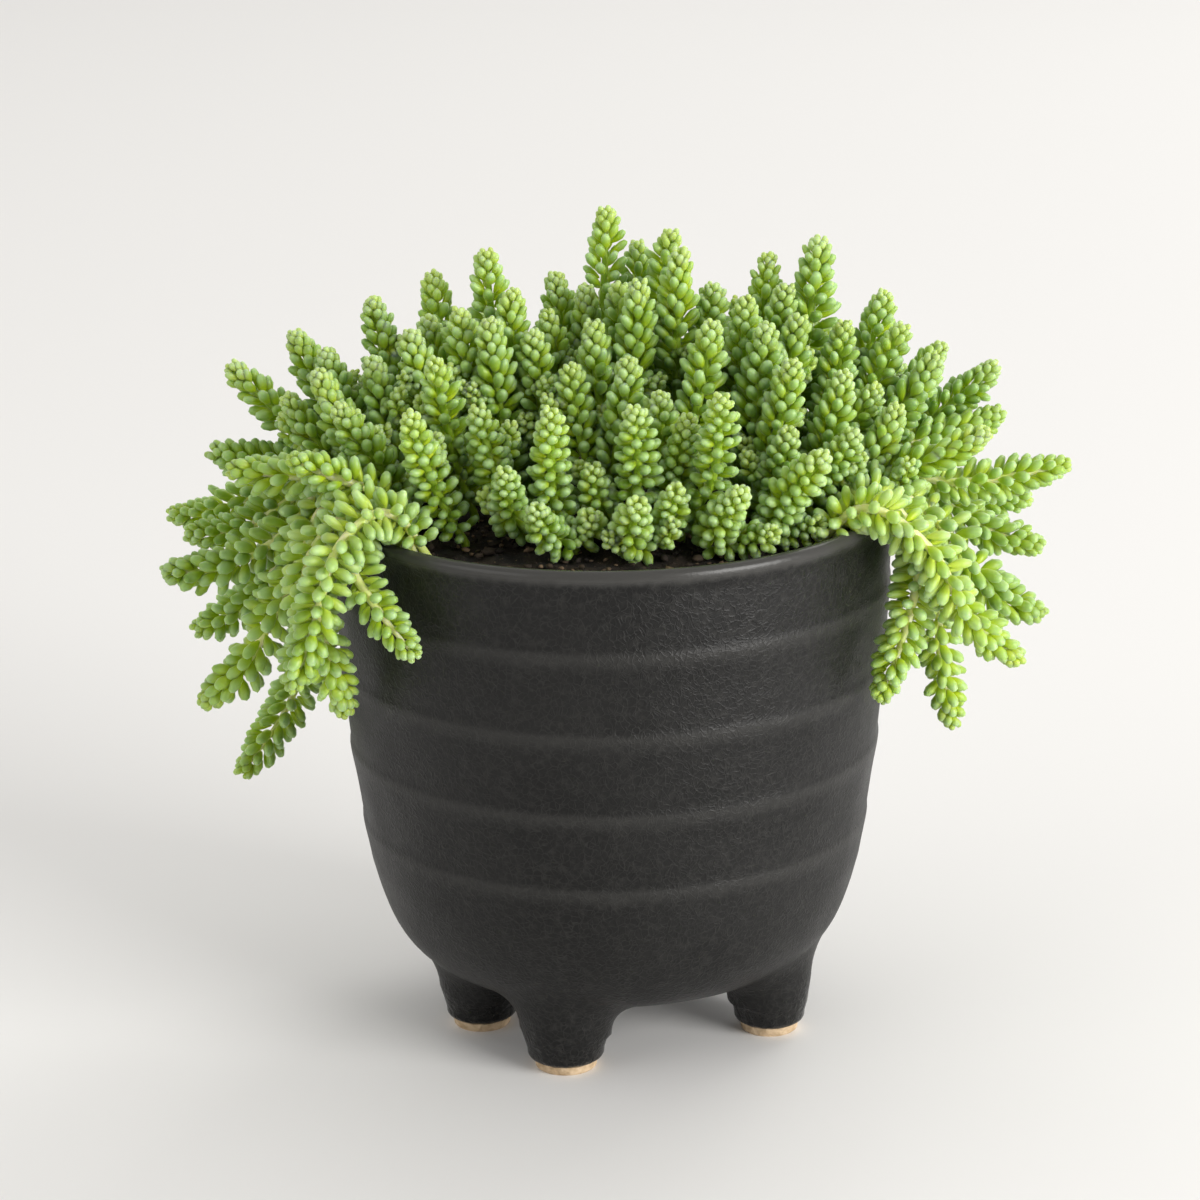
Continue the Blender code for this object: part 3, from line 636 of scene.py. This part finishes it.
def plan_sprigs():
    """Every sprig's name and stems, from the tips and ways given above."""
    sprigs = []
    count = {}
    for region, tips in UPRIGHTS:
        count[region] = count.get(region, 0) + 1
        centre = ROOT_SPREAD * np.mean([tip[:2] for tip in tips], axis=0)
        centre *= min(1.0, ROOT_LIMIT / float(np.linalg.norm(centre)))
        stems = []
        for tip in tips:
            parent = stems[0] if stems else None
            route = upright_route(tip, centre)
            front = region == "front"
            stems.append(Stem(route, UPRIGHT_RADIUS, LEAFY_LENGTH[region], ROOT_LIMIT, parent, front))
        sprigs.append((f"{region}_sprig_{count[region]:02d}", stems))
    for side, ways in TRAILERS:
        count[side] = count.get(side, 0) + 1
        stems = []
        for way in ways:
            x, y = TRAILER_ROOT * np.array(way[0]) / np.linalg.norm(way[0])
            route = [(x, y, soil_height(x, y) + ROOT_LIFT)] + list(way[1:])
            length = length_of(even_points(route, KNOTS))
            parent = stems[0] if stems else None
            stems.append(Stem(route, TRAILER_RADIUS, length - TRAILER_BARE, TRAILER_ROOT + 1.0, parent))
        sprigs.append((f"{side}_trailer_{count[side]:02d}", stems))
    return sprigs


def clear_of_pot(knots, reach):
    """Move knots off the pot's wall and lip, and up out of the soil."""
    flat = np.linalg.norm(knots[:, :2], axis=1)
    outward = knots[:, :2] / np.maximum(flat, 1e-6)[:, None]
    near = np.minimum(knots[:, 2], LIP_CORE)
    wall_line = np.interp(near, (WALL_LOW[0], LIP_CORE), (WALL_LOW[1], WALL_CORE))
    gap_flat, gap_up = flat - wall_line, knots[:, 2] - near
    gap = np.hypot(gap_flat, gap_up)
    short = np.maximum(0.0, reach + WALL_HALF + CLEARANCE - gap)
    knots[:, :2] += outward * (short * gap_flat / np.maximum(gap, 1e-6))[:, None]
    knots[:, 2] += short * gap_up / np.maximum(gap, 1e-6)
    run = np.gradient(knots, axis=0)
    lying = np.hypot(run[:, 0], run[:, 1]) / np.linalg.norm(run, axis=1)
    inside = np.linalg.norm(knots[:, :2], axis=1) < WALL_CORE
    ground = SOIL_RIM + SOIL_RISE * (1.0 - (knots[:, 0] ** 2 + knots[:, 1] ** 2) / SOIL_EDGE ** 2)
    lowest = np.where(inside, ground + SOIL_ROUGHNESS + reach * lying + CLEARANCE, -1000.0)
    knots[1:, 2] = np.maximum(knots[1:, 2], lowest[1:])


def settle(stems):
    """Lean the stems apart until no leaves of one reach another, the pot or the soil."""
    owner = np.repeat(np.arange(len(stems)), KNOTS)
    step = np.tile(np.arange(KNOTS), len(stems))
    root = np.array([stems.index(stem.parent) if stem.parent else k for k, stem in enumerate(stems)])
    kin = root[owner][:, None] == root[owner][None, :]
    low = np.minimum(step[:, None], step[None, :]) <= KIN_SHARE
    skip = (owner[:, None] == owner[None, :]) | (kin & low)
    skip |= np.tri(len(owner), dtype=bool)
    for turn in range(SETTLE_ROUNDS):
        places = np.vstack([stem.knots for stem in stems])
        reach = np.concatenate([stem.reach() for stem in stems])
        if turn % LOOK_AGAIN == 0:
            square = (places ** 2).sum(1)
            apart = np.sqrt(np.maximum(square[:, None] + square[None] - 2 * places @ places.T, 0))
            one, other = np.nonzero((apart < reach[:, None] + reach[None] + NEARBY) & ~skip)
        between = places[one] - places[other]
        gap = np.sqrt(np.maximum((between ** 2).sum(1), 1e-6))
        short = np.maximum(0.0, reach[one] + reach[other] + NEIGHBOUR_GAP - gap)
        pull = between * (0.5 * short / gap)[:, None]
        push = np.stack([
            np.bincount(one, pull[:, a], len(owner)) - np.bincount(other, pull[:, a], len(owner))
            for a in range(3)], 1)
        for k, stem in enumerate(stems):
            moved = push[k * KNOTS:(k + 1) * KNOTS]
            moved[0, 2] = 0.0
            stem.knots += moved
            shift = stem.knots - stem.aim
            eased = shift.copy()
            eased[1:-1] = 0.5 * shift[1:-1] + 0.25 * (shift[:-2] + shift[2:])
            eased[0, 2] = 0.0
            stem.knots = stem.aim + eased
            clear_of_pot(stem.knots, stem.reach())
            if stem.parent:
                stem.knots[0] = stem.parent.knots[FORK]
            else:
                away = float(np.linalg.norm(stem.knots[0, :2]))
                stem.knots[0, :2] *= min(1.0, stem.root_limit / away)
                stem.knots[0, 2] = soil_height(*stem.knots[0, :2]) + ROOT_LIFT


def carried_frames(line):
    """Two directions across the line at each of its points, carried along it without twist."""
    run = np.gradient(line, axis=0)
    run /= np.linalg.norm(run, axis=1)[:, None]
    start = np.array((1.0, 0.0, 0.0)) if abs(run[0][0]) < 0.8 else np.array((0.0, 1.0, 0.0))
    side = start - run[0] * start.dot(run[0])
    sides = []
    for ahead in run:
        side = side - ahead * side.dot(ahead)
        side = side / np.linalg.norm(side)
        sides.append(side)
    sides = np.array(sides)
    return run, sides, np.cross(run, sides)


# One leaf, modelled from a small sphere: narrow where it joins the stalk, fullest past its middle,
# blunt at its end, and a little flatter on top. Every leaf of the plant is a copy of it.
LEAF_RINGS = ((0.07, 0.52, 0.02), (0.34, 0.84, 0.03), (0.66, 1.05, 0.0), (0.91, 1.10, -0.05))
LEAF_STEPS = len(LEAF_RINGS) + 1
LEAF_FLAT = 0.86
bpy.ops.object.select_all(action="DESELECT")
bpy.ops.mesh.primitive_uv_sphere_add(segments=8, ring_count=LEAF_STEPS, radius=0.5, location=(0, 0, 0.5))
leaf = bpy.context.object
bpy.ops.object.transform_apply(location=True)
bpy.ops.object.mode_set(mode="EDIT")
bpy.ops.mesh.select_mode(type="VERT")
for ring, (height, wide, lift) in enumerate(LEAF_RINGS):
    bpy.ops.mesh.select_all(action="DESELECT")
    bpy.ops.object.mode_set(mode="OBJECT")
    was = 0.5 - 0.5 * math.cos(math.pi * (ring + 1) / LEAF_STEPS)
    for point in leaf.data.vertices:
        point.select = abs(point.co.z - was) < 0.01
    bpy.ops.object.mode_set(mode="EDIT")
    bpy.ops.transform.resize(value=(wide, LEAF_FLAT * wide, 1), center_override=(0, 0, 0))
    bpy.ops.transform.translate(value=(0, lift, height - was))
bpy.ops.object.mode_set(mode="OBJECT")
leaf_shape = leaf.data
bpy.data.objects.remove(leaf)

# Growth along a stem: leaf length and width, lean from the stem, distance of its base from the stem's
# middle, and the step to the next leaf, each at these distances back from the tip
BACK = (0.0, 1.5, 4.0, 9.0, 16.0, 30.0)
UPRIGHT_GROWTH = {
    "length": (2.1, 2.75, 4.2, 5.6, 6.5, 6.7), "width": (1.6, 1.95, 2.4, 2.9, 3.2, 3.2),
    "lean": (10, 24, 31, 37, 46, 60), "base": (0.6, 0.9, 1.1, 1.2, 1.2, 1.2),
    "step": (0.20, 0.28, 0.40, 0.53, 0.61, 0.65)}
FRONT_GROWTH = {
    "length": (2.1, 2.6, 3.5, 4.6, 5.2, 5.4), "width": (1.6, 2.0, 2.5, 2.9, 3.1, 3.1),
    "lean": (10, 30, 46, 60, 72, 78), "base": (0.6, 0.9, 1.1, 1.2, 1.2, 1.2),
    "step": (0.20, 0.28, 0.39, 0.46, 0.50, 0.52)}
TRAILER_GROWTH = {
    "length": (2.4, 2.9, 4.1, 5.5, 6.3, 6.6), "width": (1.9, 2.2, 2.65, 3.05, 3.25, 3.3),
    "lean": (12, 30, 40, 50, 60, 76), "base": (0.5, 0.8, 1.0, 1.1, 1.1, 1.1),
    "step": (0.28, 0.36, 0.45, 0.52, 0.56, 0.60)}
SHOOT_GROWTH = {
    "length": (1.9, 2.3, 3.0, 3.8, 4.3, 4.4), "width": (1.5, 1.8, 2.2, 2.6, 2.8, 2.8),
    "lean": (10, 34, 50, 60, 68, 74), "base": (0.4, 0.5, 0.5, 0.6, 0.6, 0.6),
    "step": (0.26, 0.38, 0.50, 0.58, 0.62, 0.64)}
LEAFY_MOST = 46.0
FIRST_LEAF = 0.9
LEAF_TURN = 135.0
TURN_DRIFT = (-0.5, 1.5)
STEM_PACE = (0.88, 1.14)
STEM_SIZE = (0.93, 1.08)
STEM_SPREAD = (-7.0, 7.0)
TURN_ODD, LEAN_ODD, LENGTH_ODD, WIDTH_ODD, SIDE_ODD = 0.10, 6.5, 0.09, 0.06, 0.09
FULL_GROWN = 6.0
LEAF_SEAT = 0.55
BARE_FROM = 14.0
BARE_FULL = 30.0
BARE_FACING = 0.68
BARE_CHANCE = 0.36


def leaf_frames(line, growth, lowest, chance):
    """Where every leaf along a line sits, and each one's distance back from the tip."""
    ahead, sides, ups = carried_frames(line)
    along = np.concatenate([[0.0], np.cumsum(np.linalg.norm(np.diff(line, axis=0), axis=1))])
    length = along[-1]
    pace, size = chance.uniform(*STEM_PACE), chance.uniform(*STEM_SIZE)
    spread = chance.uniform(*STEM_SPREAD)
    back = []
    at = FIRST_LEAF
    while at < length - lowest:
        back.append(at)
        at += pace * np.interp(at, BACK, growth["step"])
    back = np.array(back)
    count = len(back)
    turn = np.radians(LEAF_TURN + chance.uniform(*TURN_DRIFT)) * np.arange(count)
    turn += chance.uniform(0, 6.28) + chance.normal(0, TURN_ODD, count)
    places, forward, side, up = (
        np.stack([np.interp(length - back, along, known[:, a]) for a in range(3)], 1)
        for known in (line, ahead, sides, ups))
    outward = np.cos(turn)[:, None] * side + np.sin(turn)[:, None] * up
    across = np.cross(forward, outward)
    grown = np.clip(back / FULL_GROWN, 0.25, 1.0)
    lean = np.interp(back, BACK, growth["lean"]) + grown * (spread + chance.normal(0, LEAN_ODD, count))
    lean = np.radians(lean)
    reach = size * np.interp(back, BACK, growth["length"])
    reach = reach * chance.normal(1.0, LENGTH_ODD, count).clip(0.75, 1.2)
    width = size * np.interp(back, BACK, growth["width"]) * chance.normal(1.0, WIDTH_ODD, count)
    point = np.cos(lean)[:, None] * forward + np.sin(lean)[:, None] * outward
    point += SIDE_ODD * grown[:, None] * chance.normal(0, 1.0, (count, 1)) * across
    point /= np.linalg.norm(point, axis=1)[:, None]
    across = np.cross(point, np.cross(across, point))
    across /= np.linalg.norm(across, axis=1)[:, None]
    inner = np.cross(across, point)
    base = places + outward * np.interp(back, BACK, growth["base"])[:, None]
    base -= forward * (LEAF_SEAT * reach * np.cos(lean))[:, None]
    frames = np.stack([across * width[:, None], inner * width[:, None], point * reach[:, None], base], 2)
    keep = np.ones(count, bool)
    if growth is TRAILER_GROWTH:
        radial = places[:, :2] / np.linalg.norm(places[:, :2], axis=1)[:, None]
        facing = 0.6 * (outward[:, :2] * radial).sum(1) + 0.8 * outward[:, 2]
        old = np.clip((back - BARE_FROM) / (BARE_FULL - BARE_FROM), 0, 1)
        keep = ~((facing > BARE_FACING) & (chance.random(count) < BARE_CHANCE * old))
    return frames[keep], back[keep]


def stalk_mesh(line, thick):
    """A stem's own stalk: a thin tube that ends among the leaves, a little short of its tip."""
    _, sides, ups = carried_frames(line)
    around, taper_rings = 8, 8
    points = []
    for k, (spot, side, up) in enumerate(zip(line, sides, ups)):
        radius = thick * min(1.0, 0.40 + 0.60 * (len(line) - 1 - k) / taper_rings)
        for j in range(around):
            angle = 2 * math.pi * j / around
            points.append(spot + radius * (math.cos(angle) * side + math.sin(angle) * up))
    faces = [tuple(range(around))[::-1], tuple(range(len(points) - around, len(points)))]
    for ring in range(len(line) - 1):
        for j in range(around):
            first, after = ring * around, (j + 1) % around
            faces.append((first + j, first + after, first + around + after, first + around + j))
    return points, faces


def shorter(line, cut):
    """The line without its last few millimetres."""
    along = np.concatenate([[0.0], np.cumsum(np.linalg.norm(np.diff(line, axis=0), axis=1))])
    wanted = np.linspace(0, along[-1] - cut, len(line))
    return np.stack([np.interp(wanted, along, line[:, a]) for a in range(3)], 1)


# Small side shoots fill the gaps between the stems. Each leaves its stem where there is most room.
SHOOTS_EACH = {True: 1, False: 2}
SHOOT_TRIES = 14
SHOOT_BACK = (13.0, 20.0)
SHOOT_NEXT = 9.0
SHOOT_OUT = (7.5, 11.0)
SHOOT_UP = (3.0, 8.0)
SHOOT_RADIUS = 3.6
SHOOT_ROOM = 2.6
SHOOT_TIP_BELOW = 4.0
SHOOT_OVER_SOIL = 5.0
SHOOT_SEARCH = 60
SHOOT_LINE = 24
SHOOT_BEND = 0.55
MOUND = (104.0, 60.0)


def side_shoots(stem, crowd, chance):
    """Curved lines for a stem's own small shoots, turned to where its neighbours leave room."""
    line = even_points(stem.knots, SHOOT_SEARCH)
    others = np.vstack([near for other, near in crowd if other is not stem])
    tips = np.array([near[-1] for other, near in crowd if other is not stem])
    length = length_of(line)
    taken = [np.zeros((0, 3))]
    lines = []
    for nth in range(SHOOTS_EACH[stem.front]):
        back = chance.uniform(*SHOOT_BACK) + SHOOT_NEXT * nth
        if back > length - 3.0:
            continue
        start = line[int(round((1 - back / length) * (SHOOT_SEARCH - 1)))]
        far = np.vstack([others] + taken)
        best, best_room = None, SHOOT_ROOM
        for _ in range(SHOOT_TRIES):
            angle, reach = chance.uniform(0, 2 * math.pi), chance.uniform(*SHOOT_OUT)
            side = np.array((math.cos(angle), math.sin(angle), 0.0))
            tip = start + side * reach + np.array((0, 0, chance.uniform(*SHOOT_UP)))
            room = np.linalg.norm(far - tip, axis=1).min() - SHOOT_RADIUS
            inside = np.linalg.norm(tip[:2] / MOUND) < 1.0
            beside = tips[np.argsort(np.linalg.norm(tips[:, :2] - tip[:2], axis=1))[:4], 2]
            low = tip[2] < min(line[-1][2], beside.min()) - SHOOT_TIP_BELOW
            clear = tip[2] > soil_height(*tip[:2]) + SHOOT_OVER_SOIL
            if inside and low and clear and room > best_room:
                best, best_room = (side, tip), room
        if best:
            side, tip = best
            bend = start + side * np.linalg.norm(tip - start) * SHOOT_BEND
            lines.append(even_points([start, bend, tip], SHOOT_LINE))
            taken.append(lines[-1])
    return lines


STEM_THICK, SHOOT_THICK = 1.15, 0.7
STALK_SHORT = 4.0
LOWEST_LEAF = {"upright": 4.0, "fork": 2.0, "trailer": 7.0, "shoot": 1.5}
STEM_LINE, STALK_LINE, CROWD_LINE = 150, 32, 30
YOUNG_WITHIN = 8.0
# Painted light and shade: the outer stems that hang in the light are given brighter and paler leaves,
# and those behind them darker ones
FRONT_TRAILER = -30.0
SUNNY_SHADE = (0.14, 0.84, 0.85)
SHADY_SHADE = (0.06, 0.70, 0.5)
PALE_FROM = 10.0
PALE_OVER = 30.0
# Painted shade: leaves of upright stems darken with distance back from their tip, deep in the plant
DARK_FROM, DARK_OVER = 1.25, 30.0
TRAILER_YOUTH = 0.4


def grow(name, stems, crowd, chance):
    """A sprig's mesh: its stalks, and every leaf, with marks for the leaf's colours."""
    tall = np.array([v.co.z for v in leaf_shape.vertices])
    trailing = 1.0 if stems[0].radius == TRAILER_RADIUS else 0.0
    shoots = []
    for stem in stems:
        line = even_points(stem.knots, STEM_LINE)
        depth = 0.0 if stem.parent else ROOT_DEPTH
        if trailing:
            shoots.append((line, TRAILER_GROWTH, LOWEST_LEAF["trailer"], STEM_THICK, depth))
            continue
        lowest = max(LOWEST_LEAF["fork" if stem.parent else "upright"], length_of(line) - LEAFY_MOST)
        growth = FRONT_GROWTH if stem.front else UPRIGHT_GROWTH
        shoots.append((line, growth, lowest, STEM_THICK, depth))
        for own_line in side_shoots(stem, crowd, chance):
            shoots.append((own_line, SHOOT_GROWTH, LOWEST_LEAF["shoot"], SHOOT_THICK, 0.0))
    every, marks, stalks = [], [], []
    for line, growth, lowest, thick, depth in shoots:
        frames, back = leaf_frames(line, growth, lowest, chance)
        tone_and_shade = 0.5 * chance.random(len(back)) + 0.5 * chance.random()
        every.append(frames)
        young = np.clip(1 - back / YOUNG_WITHIN, 0, 1)
        if growth is TRAILER_GROWTH:
            # Painted light and shade: trailers at the front or on the right count as lit, the rest as shaded
            sunny = "right" in name or stems[0].knots[-1][1] < FRONT_TRAILER
            least, more, pale = SUNNY_SHADE if sunny else SHADY_SHADE
            tone_and_shade = least + more * tone_and_shade
            paleness = pale * chance.random(len(back))
            young = TRAILER_YOUTH * young + paleness * np.clip((back - PALE_FROM) / PALE_OVER, 0, 1)
        else:
            # Painted shade: the further back from the tip, deeper in the plant, the darker the leaf
            tone_and_shade *= np.clip(DARK_FROM - back / DARK_OVER, 0.0, 1.0)
        marks.append(np.stack([
            np.tile(tall, len(back)), np.repeat(young, len(tall)), np.repeat(tone_and_shade, len(tall)),
            np.ones(len(back) * len(tall))], 1))
        core = shorter(even_points(line, STALK_LINE), STALK_SHORT)
        if depth:
            core = np.vstack([core[0] - (0, 0, depth), core])
        stalks.append(stalk_mesh(core, thick))
    leaves = stacked(name, leaf_shape, np.concatenate(every), np.concatenate(marks))
    sprig = bpy.data.objects.new(name, leaves)
    bpy.context.collection.objects.link(sprig)
    points = [p for own_points, _ in stalks for p in own_points]
    faces, start = [], 0
    for own_points, own_faces in stalks:
        faces.extend(tuple(v + start for v in face) for face in own_faces)
        start += len(own_points)
    mesh = bpy.data.meshes.new(name + "_stalk")
    mesh.from_pydata([tuple(p * MM) for p in points], [], faces)
    mesh.polygons.foreach_set("use_smooth", [True] * len(mesh.polygons))
    marks = mesh.color_attributes.new("leaf_marks", "FLOAT_COLOR", "POINT")
    marks.data.foreach_set("color", [0.0, 0.0, trailing, 0.0] * len(points))
    stalk = bpy.data.objects.new(name + "_stalk", mesh)
    bpy.context.collection.objects.link(stalk)
    bpy.ops.object.select_all(action="DESELECT")
    sprig.select_set(True)
    stalk.select_set(True)
    bpy.context.view_layer.objects.active = sprig
    bpy.ops.object.join()
    return sprig


# A leaf is yellow-green where it joins the stem and deeper green outside, with a pale waxy bloom to its
# end. Leaves at a tip are palest. The marks carry place along the leaf, youth, and a tone of its own that
# also holds painted shade and light: darker deep in the plant, brighter on the trailers in the light.
LEAF_GREEN = ((0.085, 0.185, 0.003, 1), (0.310, 0.485, 0.062, 1))
LEAF_BASE = ((0.270, 0.410, 0.003, 1), (0.560, 0.690, 0.015, 1))
YOUNG_LEAF = (0.530, 0.655, 0.240, 1)
YOUNG_SHARE = 0.60
BASE_ENDS, BLOOM_GROWS = (0.22, 0.90), (0.45, 1.0)
BLOOM = (0.405, 0.590, 0.305, 1)
BLOOM_MOST = 0.82
BLOOM_SCALE, STALK_SCALE, PORE_SCALE = 160.0, 220.0, 1800.0
GREEN_STALK = (0.30, 0.45, 0.035, 1)
PALE_STALK = ((0.62, 0.76, 0.20, 1), (0.88, 0.88, 0.46, 1))
leafy = bpy.data.materials.new("sedum_leaf")
leafy.use_nodes = True
tree = leafy.node_tree
shader = tree.nodes["Principled BSDF"]
place = add_node(tree, "TexCoord").outputs["Object"]
marks = add_node(tree, "Attribute", attribute_name="leaf_marks")
parts = add_node(tree, "SeparateColor", {"Color": marks.outputs["Color"]})
on_leaf, young, tone_and_shade = parts.outputs["Red"], parts.outputs["Green"], parts.outputs["Blue"]
# The tone mark, with its painted shade and light, picks each leaf's green between dark and bright
green = blend(tree, tone_and_shade, *LEAF_GREEN)
skin = blend(tree, ranged(tree, on_leaf, *BASE_ENDS), blend(tree, tone_and_shade, *LEAF_BASE), green)
skin = blend(tree, maths(tree, "MULTIPLY", young, YOUNG_SHARE), skin, YOUNG_LEAF)
dusty = maths(tree, "MULTIPLY", ranged(tree, on_leaf, *BLOOM_GROWS, 0.0, BLOOM_MOST),
             blotch(tree, place, BLOOM_SCALE, 0.30, 0.58))
skin = blend(tree, dusty, skin, BLOOM)
stalk_tone = blend(tree, tone_and_shade, GREEN_STALK, blend(tree, blotch(tree, place, STALK_SCALE), *PALE_STALK))
tree.links.new(blend(tree, marks.outputs["Alpha"], stalk_tone, skin), shader.inputs["Base Color"])
shader.inputs["Roughness"].default_value = 0.40
shader.inputs["Subsurface Weight"].default_value = 0.65
shader.inputs["Subsurface Radius"].default_value = (0.9, 1.0, 0.20)
shader.inputs["Subsurface Scale"].default_value = 0.0045
shader.inputs["Sheen Weight"].default_value = 0.22
shader.inputs["Sheen Roughness"].default_value = 0.35
shader.inputs["Sheen Tint"].default_value = (0.86, 0.96, 0.84, 1)
pores = grained(tree, place, PORE_SCALE)["Fac"]
bump = add_node(tree, "Bump", {"Height": pores, "Strength": 0.12, "Distance": 0.0003})
tree.links.new(bump.outputs["Normal"], shader.inputs["Normal"])

plan = plan_sprigs()
settle([stem for _, stems in plan for stem in stems])
crowd = [(stem, even_points(stem.knots, CROWD_LINE)) for _, stems in plan for stem in stems]
growing = np.random.default_rng(21)
for node, stems in plan:
    sprig = grow("leafy_" + node, stems, crowd, growing)
    sprig.data.materials.append(leafy)
    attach(sprig, "root")
    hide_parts(node)

# The pot stands on a plain pale floor in a soft bright room. A large window at the front right is the
# main light, with weak fill at the left, one behind, and one for the floor further back.
FLOOR_TONE = (0.80, 0.793, 0.782, 1)
ROOM_TONE = (1.0, 0.985, 0.965, 1)
ROOM_FRONT, ROOM_BACK = 0.34, 0.98
AT_PLANT = Vector((0, 0, 0.12))
AT_FLOOR = Vector((0, 2.6, 0))
LAMPS = (
    ("window", (1.9, -1.5, 0.80), AT_PLANT, (1.5, 1.3), 72.0, (1.0, 0.99, 0.97)),
    ("fill", (-2.1, -1.5, 1.2), AT_PLANT, (1.8, 1.4), 13.0, (1.0, 0.99, 0.97)),
    ("back_window", (1.4, 1.9, 1.7), AT_PLANT, (1.4, 1.4), 20.0, (1.0, 0.99, 0.96)),
    ("far_floor", (-0.6, 3.4, 2.8), AT_FLOOR, (3.0, 2.0), 7.0, (1.0, 0.985, 0.965)))
bpy.ops.object.select_all(action="DESELECT")
bpy.ops.mesh.primitive_plane_add(size=24.0, location=(0, 6.0, 0))
floor = bpy.context.object
floor.name = "pale_floor"
bpy.ops.object.transform_apply(location=True)
pale = bpy.data.materials.new("pale_floor")
pale.use_nodes = True
pale.node_tree.nodes["Principled BSDF"].inputs["Base Color"].default_value = FLOOR_TONE
pale.node_tree.nodes["Principled BSDF"].inputs["Roughness"].default_value = 0.7
floor.data.materials.append(pale)

daylight = bpy.data.worlds.new("soft_room")
daylight.use_nodes = True
tree = daylight.node_tree
room = add_node(tree, "TexCoord").outputs["Generated"]
depth = add_node(tree, "SeparateXYZ", {"Vector": room}).outputs["Y"]
bright = ranged(tree, depth, -1.0, 1.0, ROOM_FRONT, ROOM_BACK)
tree.nodes["Background"].inputs["Color"].default_value = ROOM_TONE
tree.links.new(bright, tree.nodes["Background"].inputs["Strength"])
bpy.context.scene.world = daylight
for name, spot, target, size, power, tint in LAMPS:
    lamp = bpy.data.lights.new(name, "AREA")
    lamp.shape = "RECTANGLE"
    lamp.size, lamp.size_y = size
    lamp.energy = power
    lamp.color = tint
    held = bpy.data.objects.new(name, lamp)
    held.location = spot
    held.rotation_euler = (target - Vector(spot)).to_track_quat("-Z", "Y").to_euler()
    bpy.context.collection.objects.link(held)

# The viewpoint is the photograph's: about a metre away, looking down, with a slight roll
LOOK_DOWN = 17.1
ROLL = -0.81
CAMERA_PLACE = (-0.0033, -0.9697, 0.4144)
view = bpy.data.cameras.new("photograph")
view.lens = 114.0
view.sensor_width = 36.0
view.clip_start = 0.05
view.clip_end = 30.0
camera = bpy.data.objects.new("photograph", view)
aim = Matrix.Rotation(math.radians(90 - LOOK_DOWN), 4, "X") @ Matrix.Rotation(math.radians(ROLL), 4, "Z")
camera.rotation_euler = aim.to_euler()
camera.location = CAMERA_PLACE
bpy.context.collection.objects.link(camera)
bpy.context.scene.camera = camera
bpy.context.scene.view_settings.view_transform = "Standard"
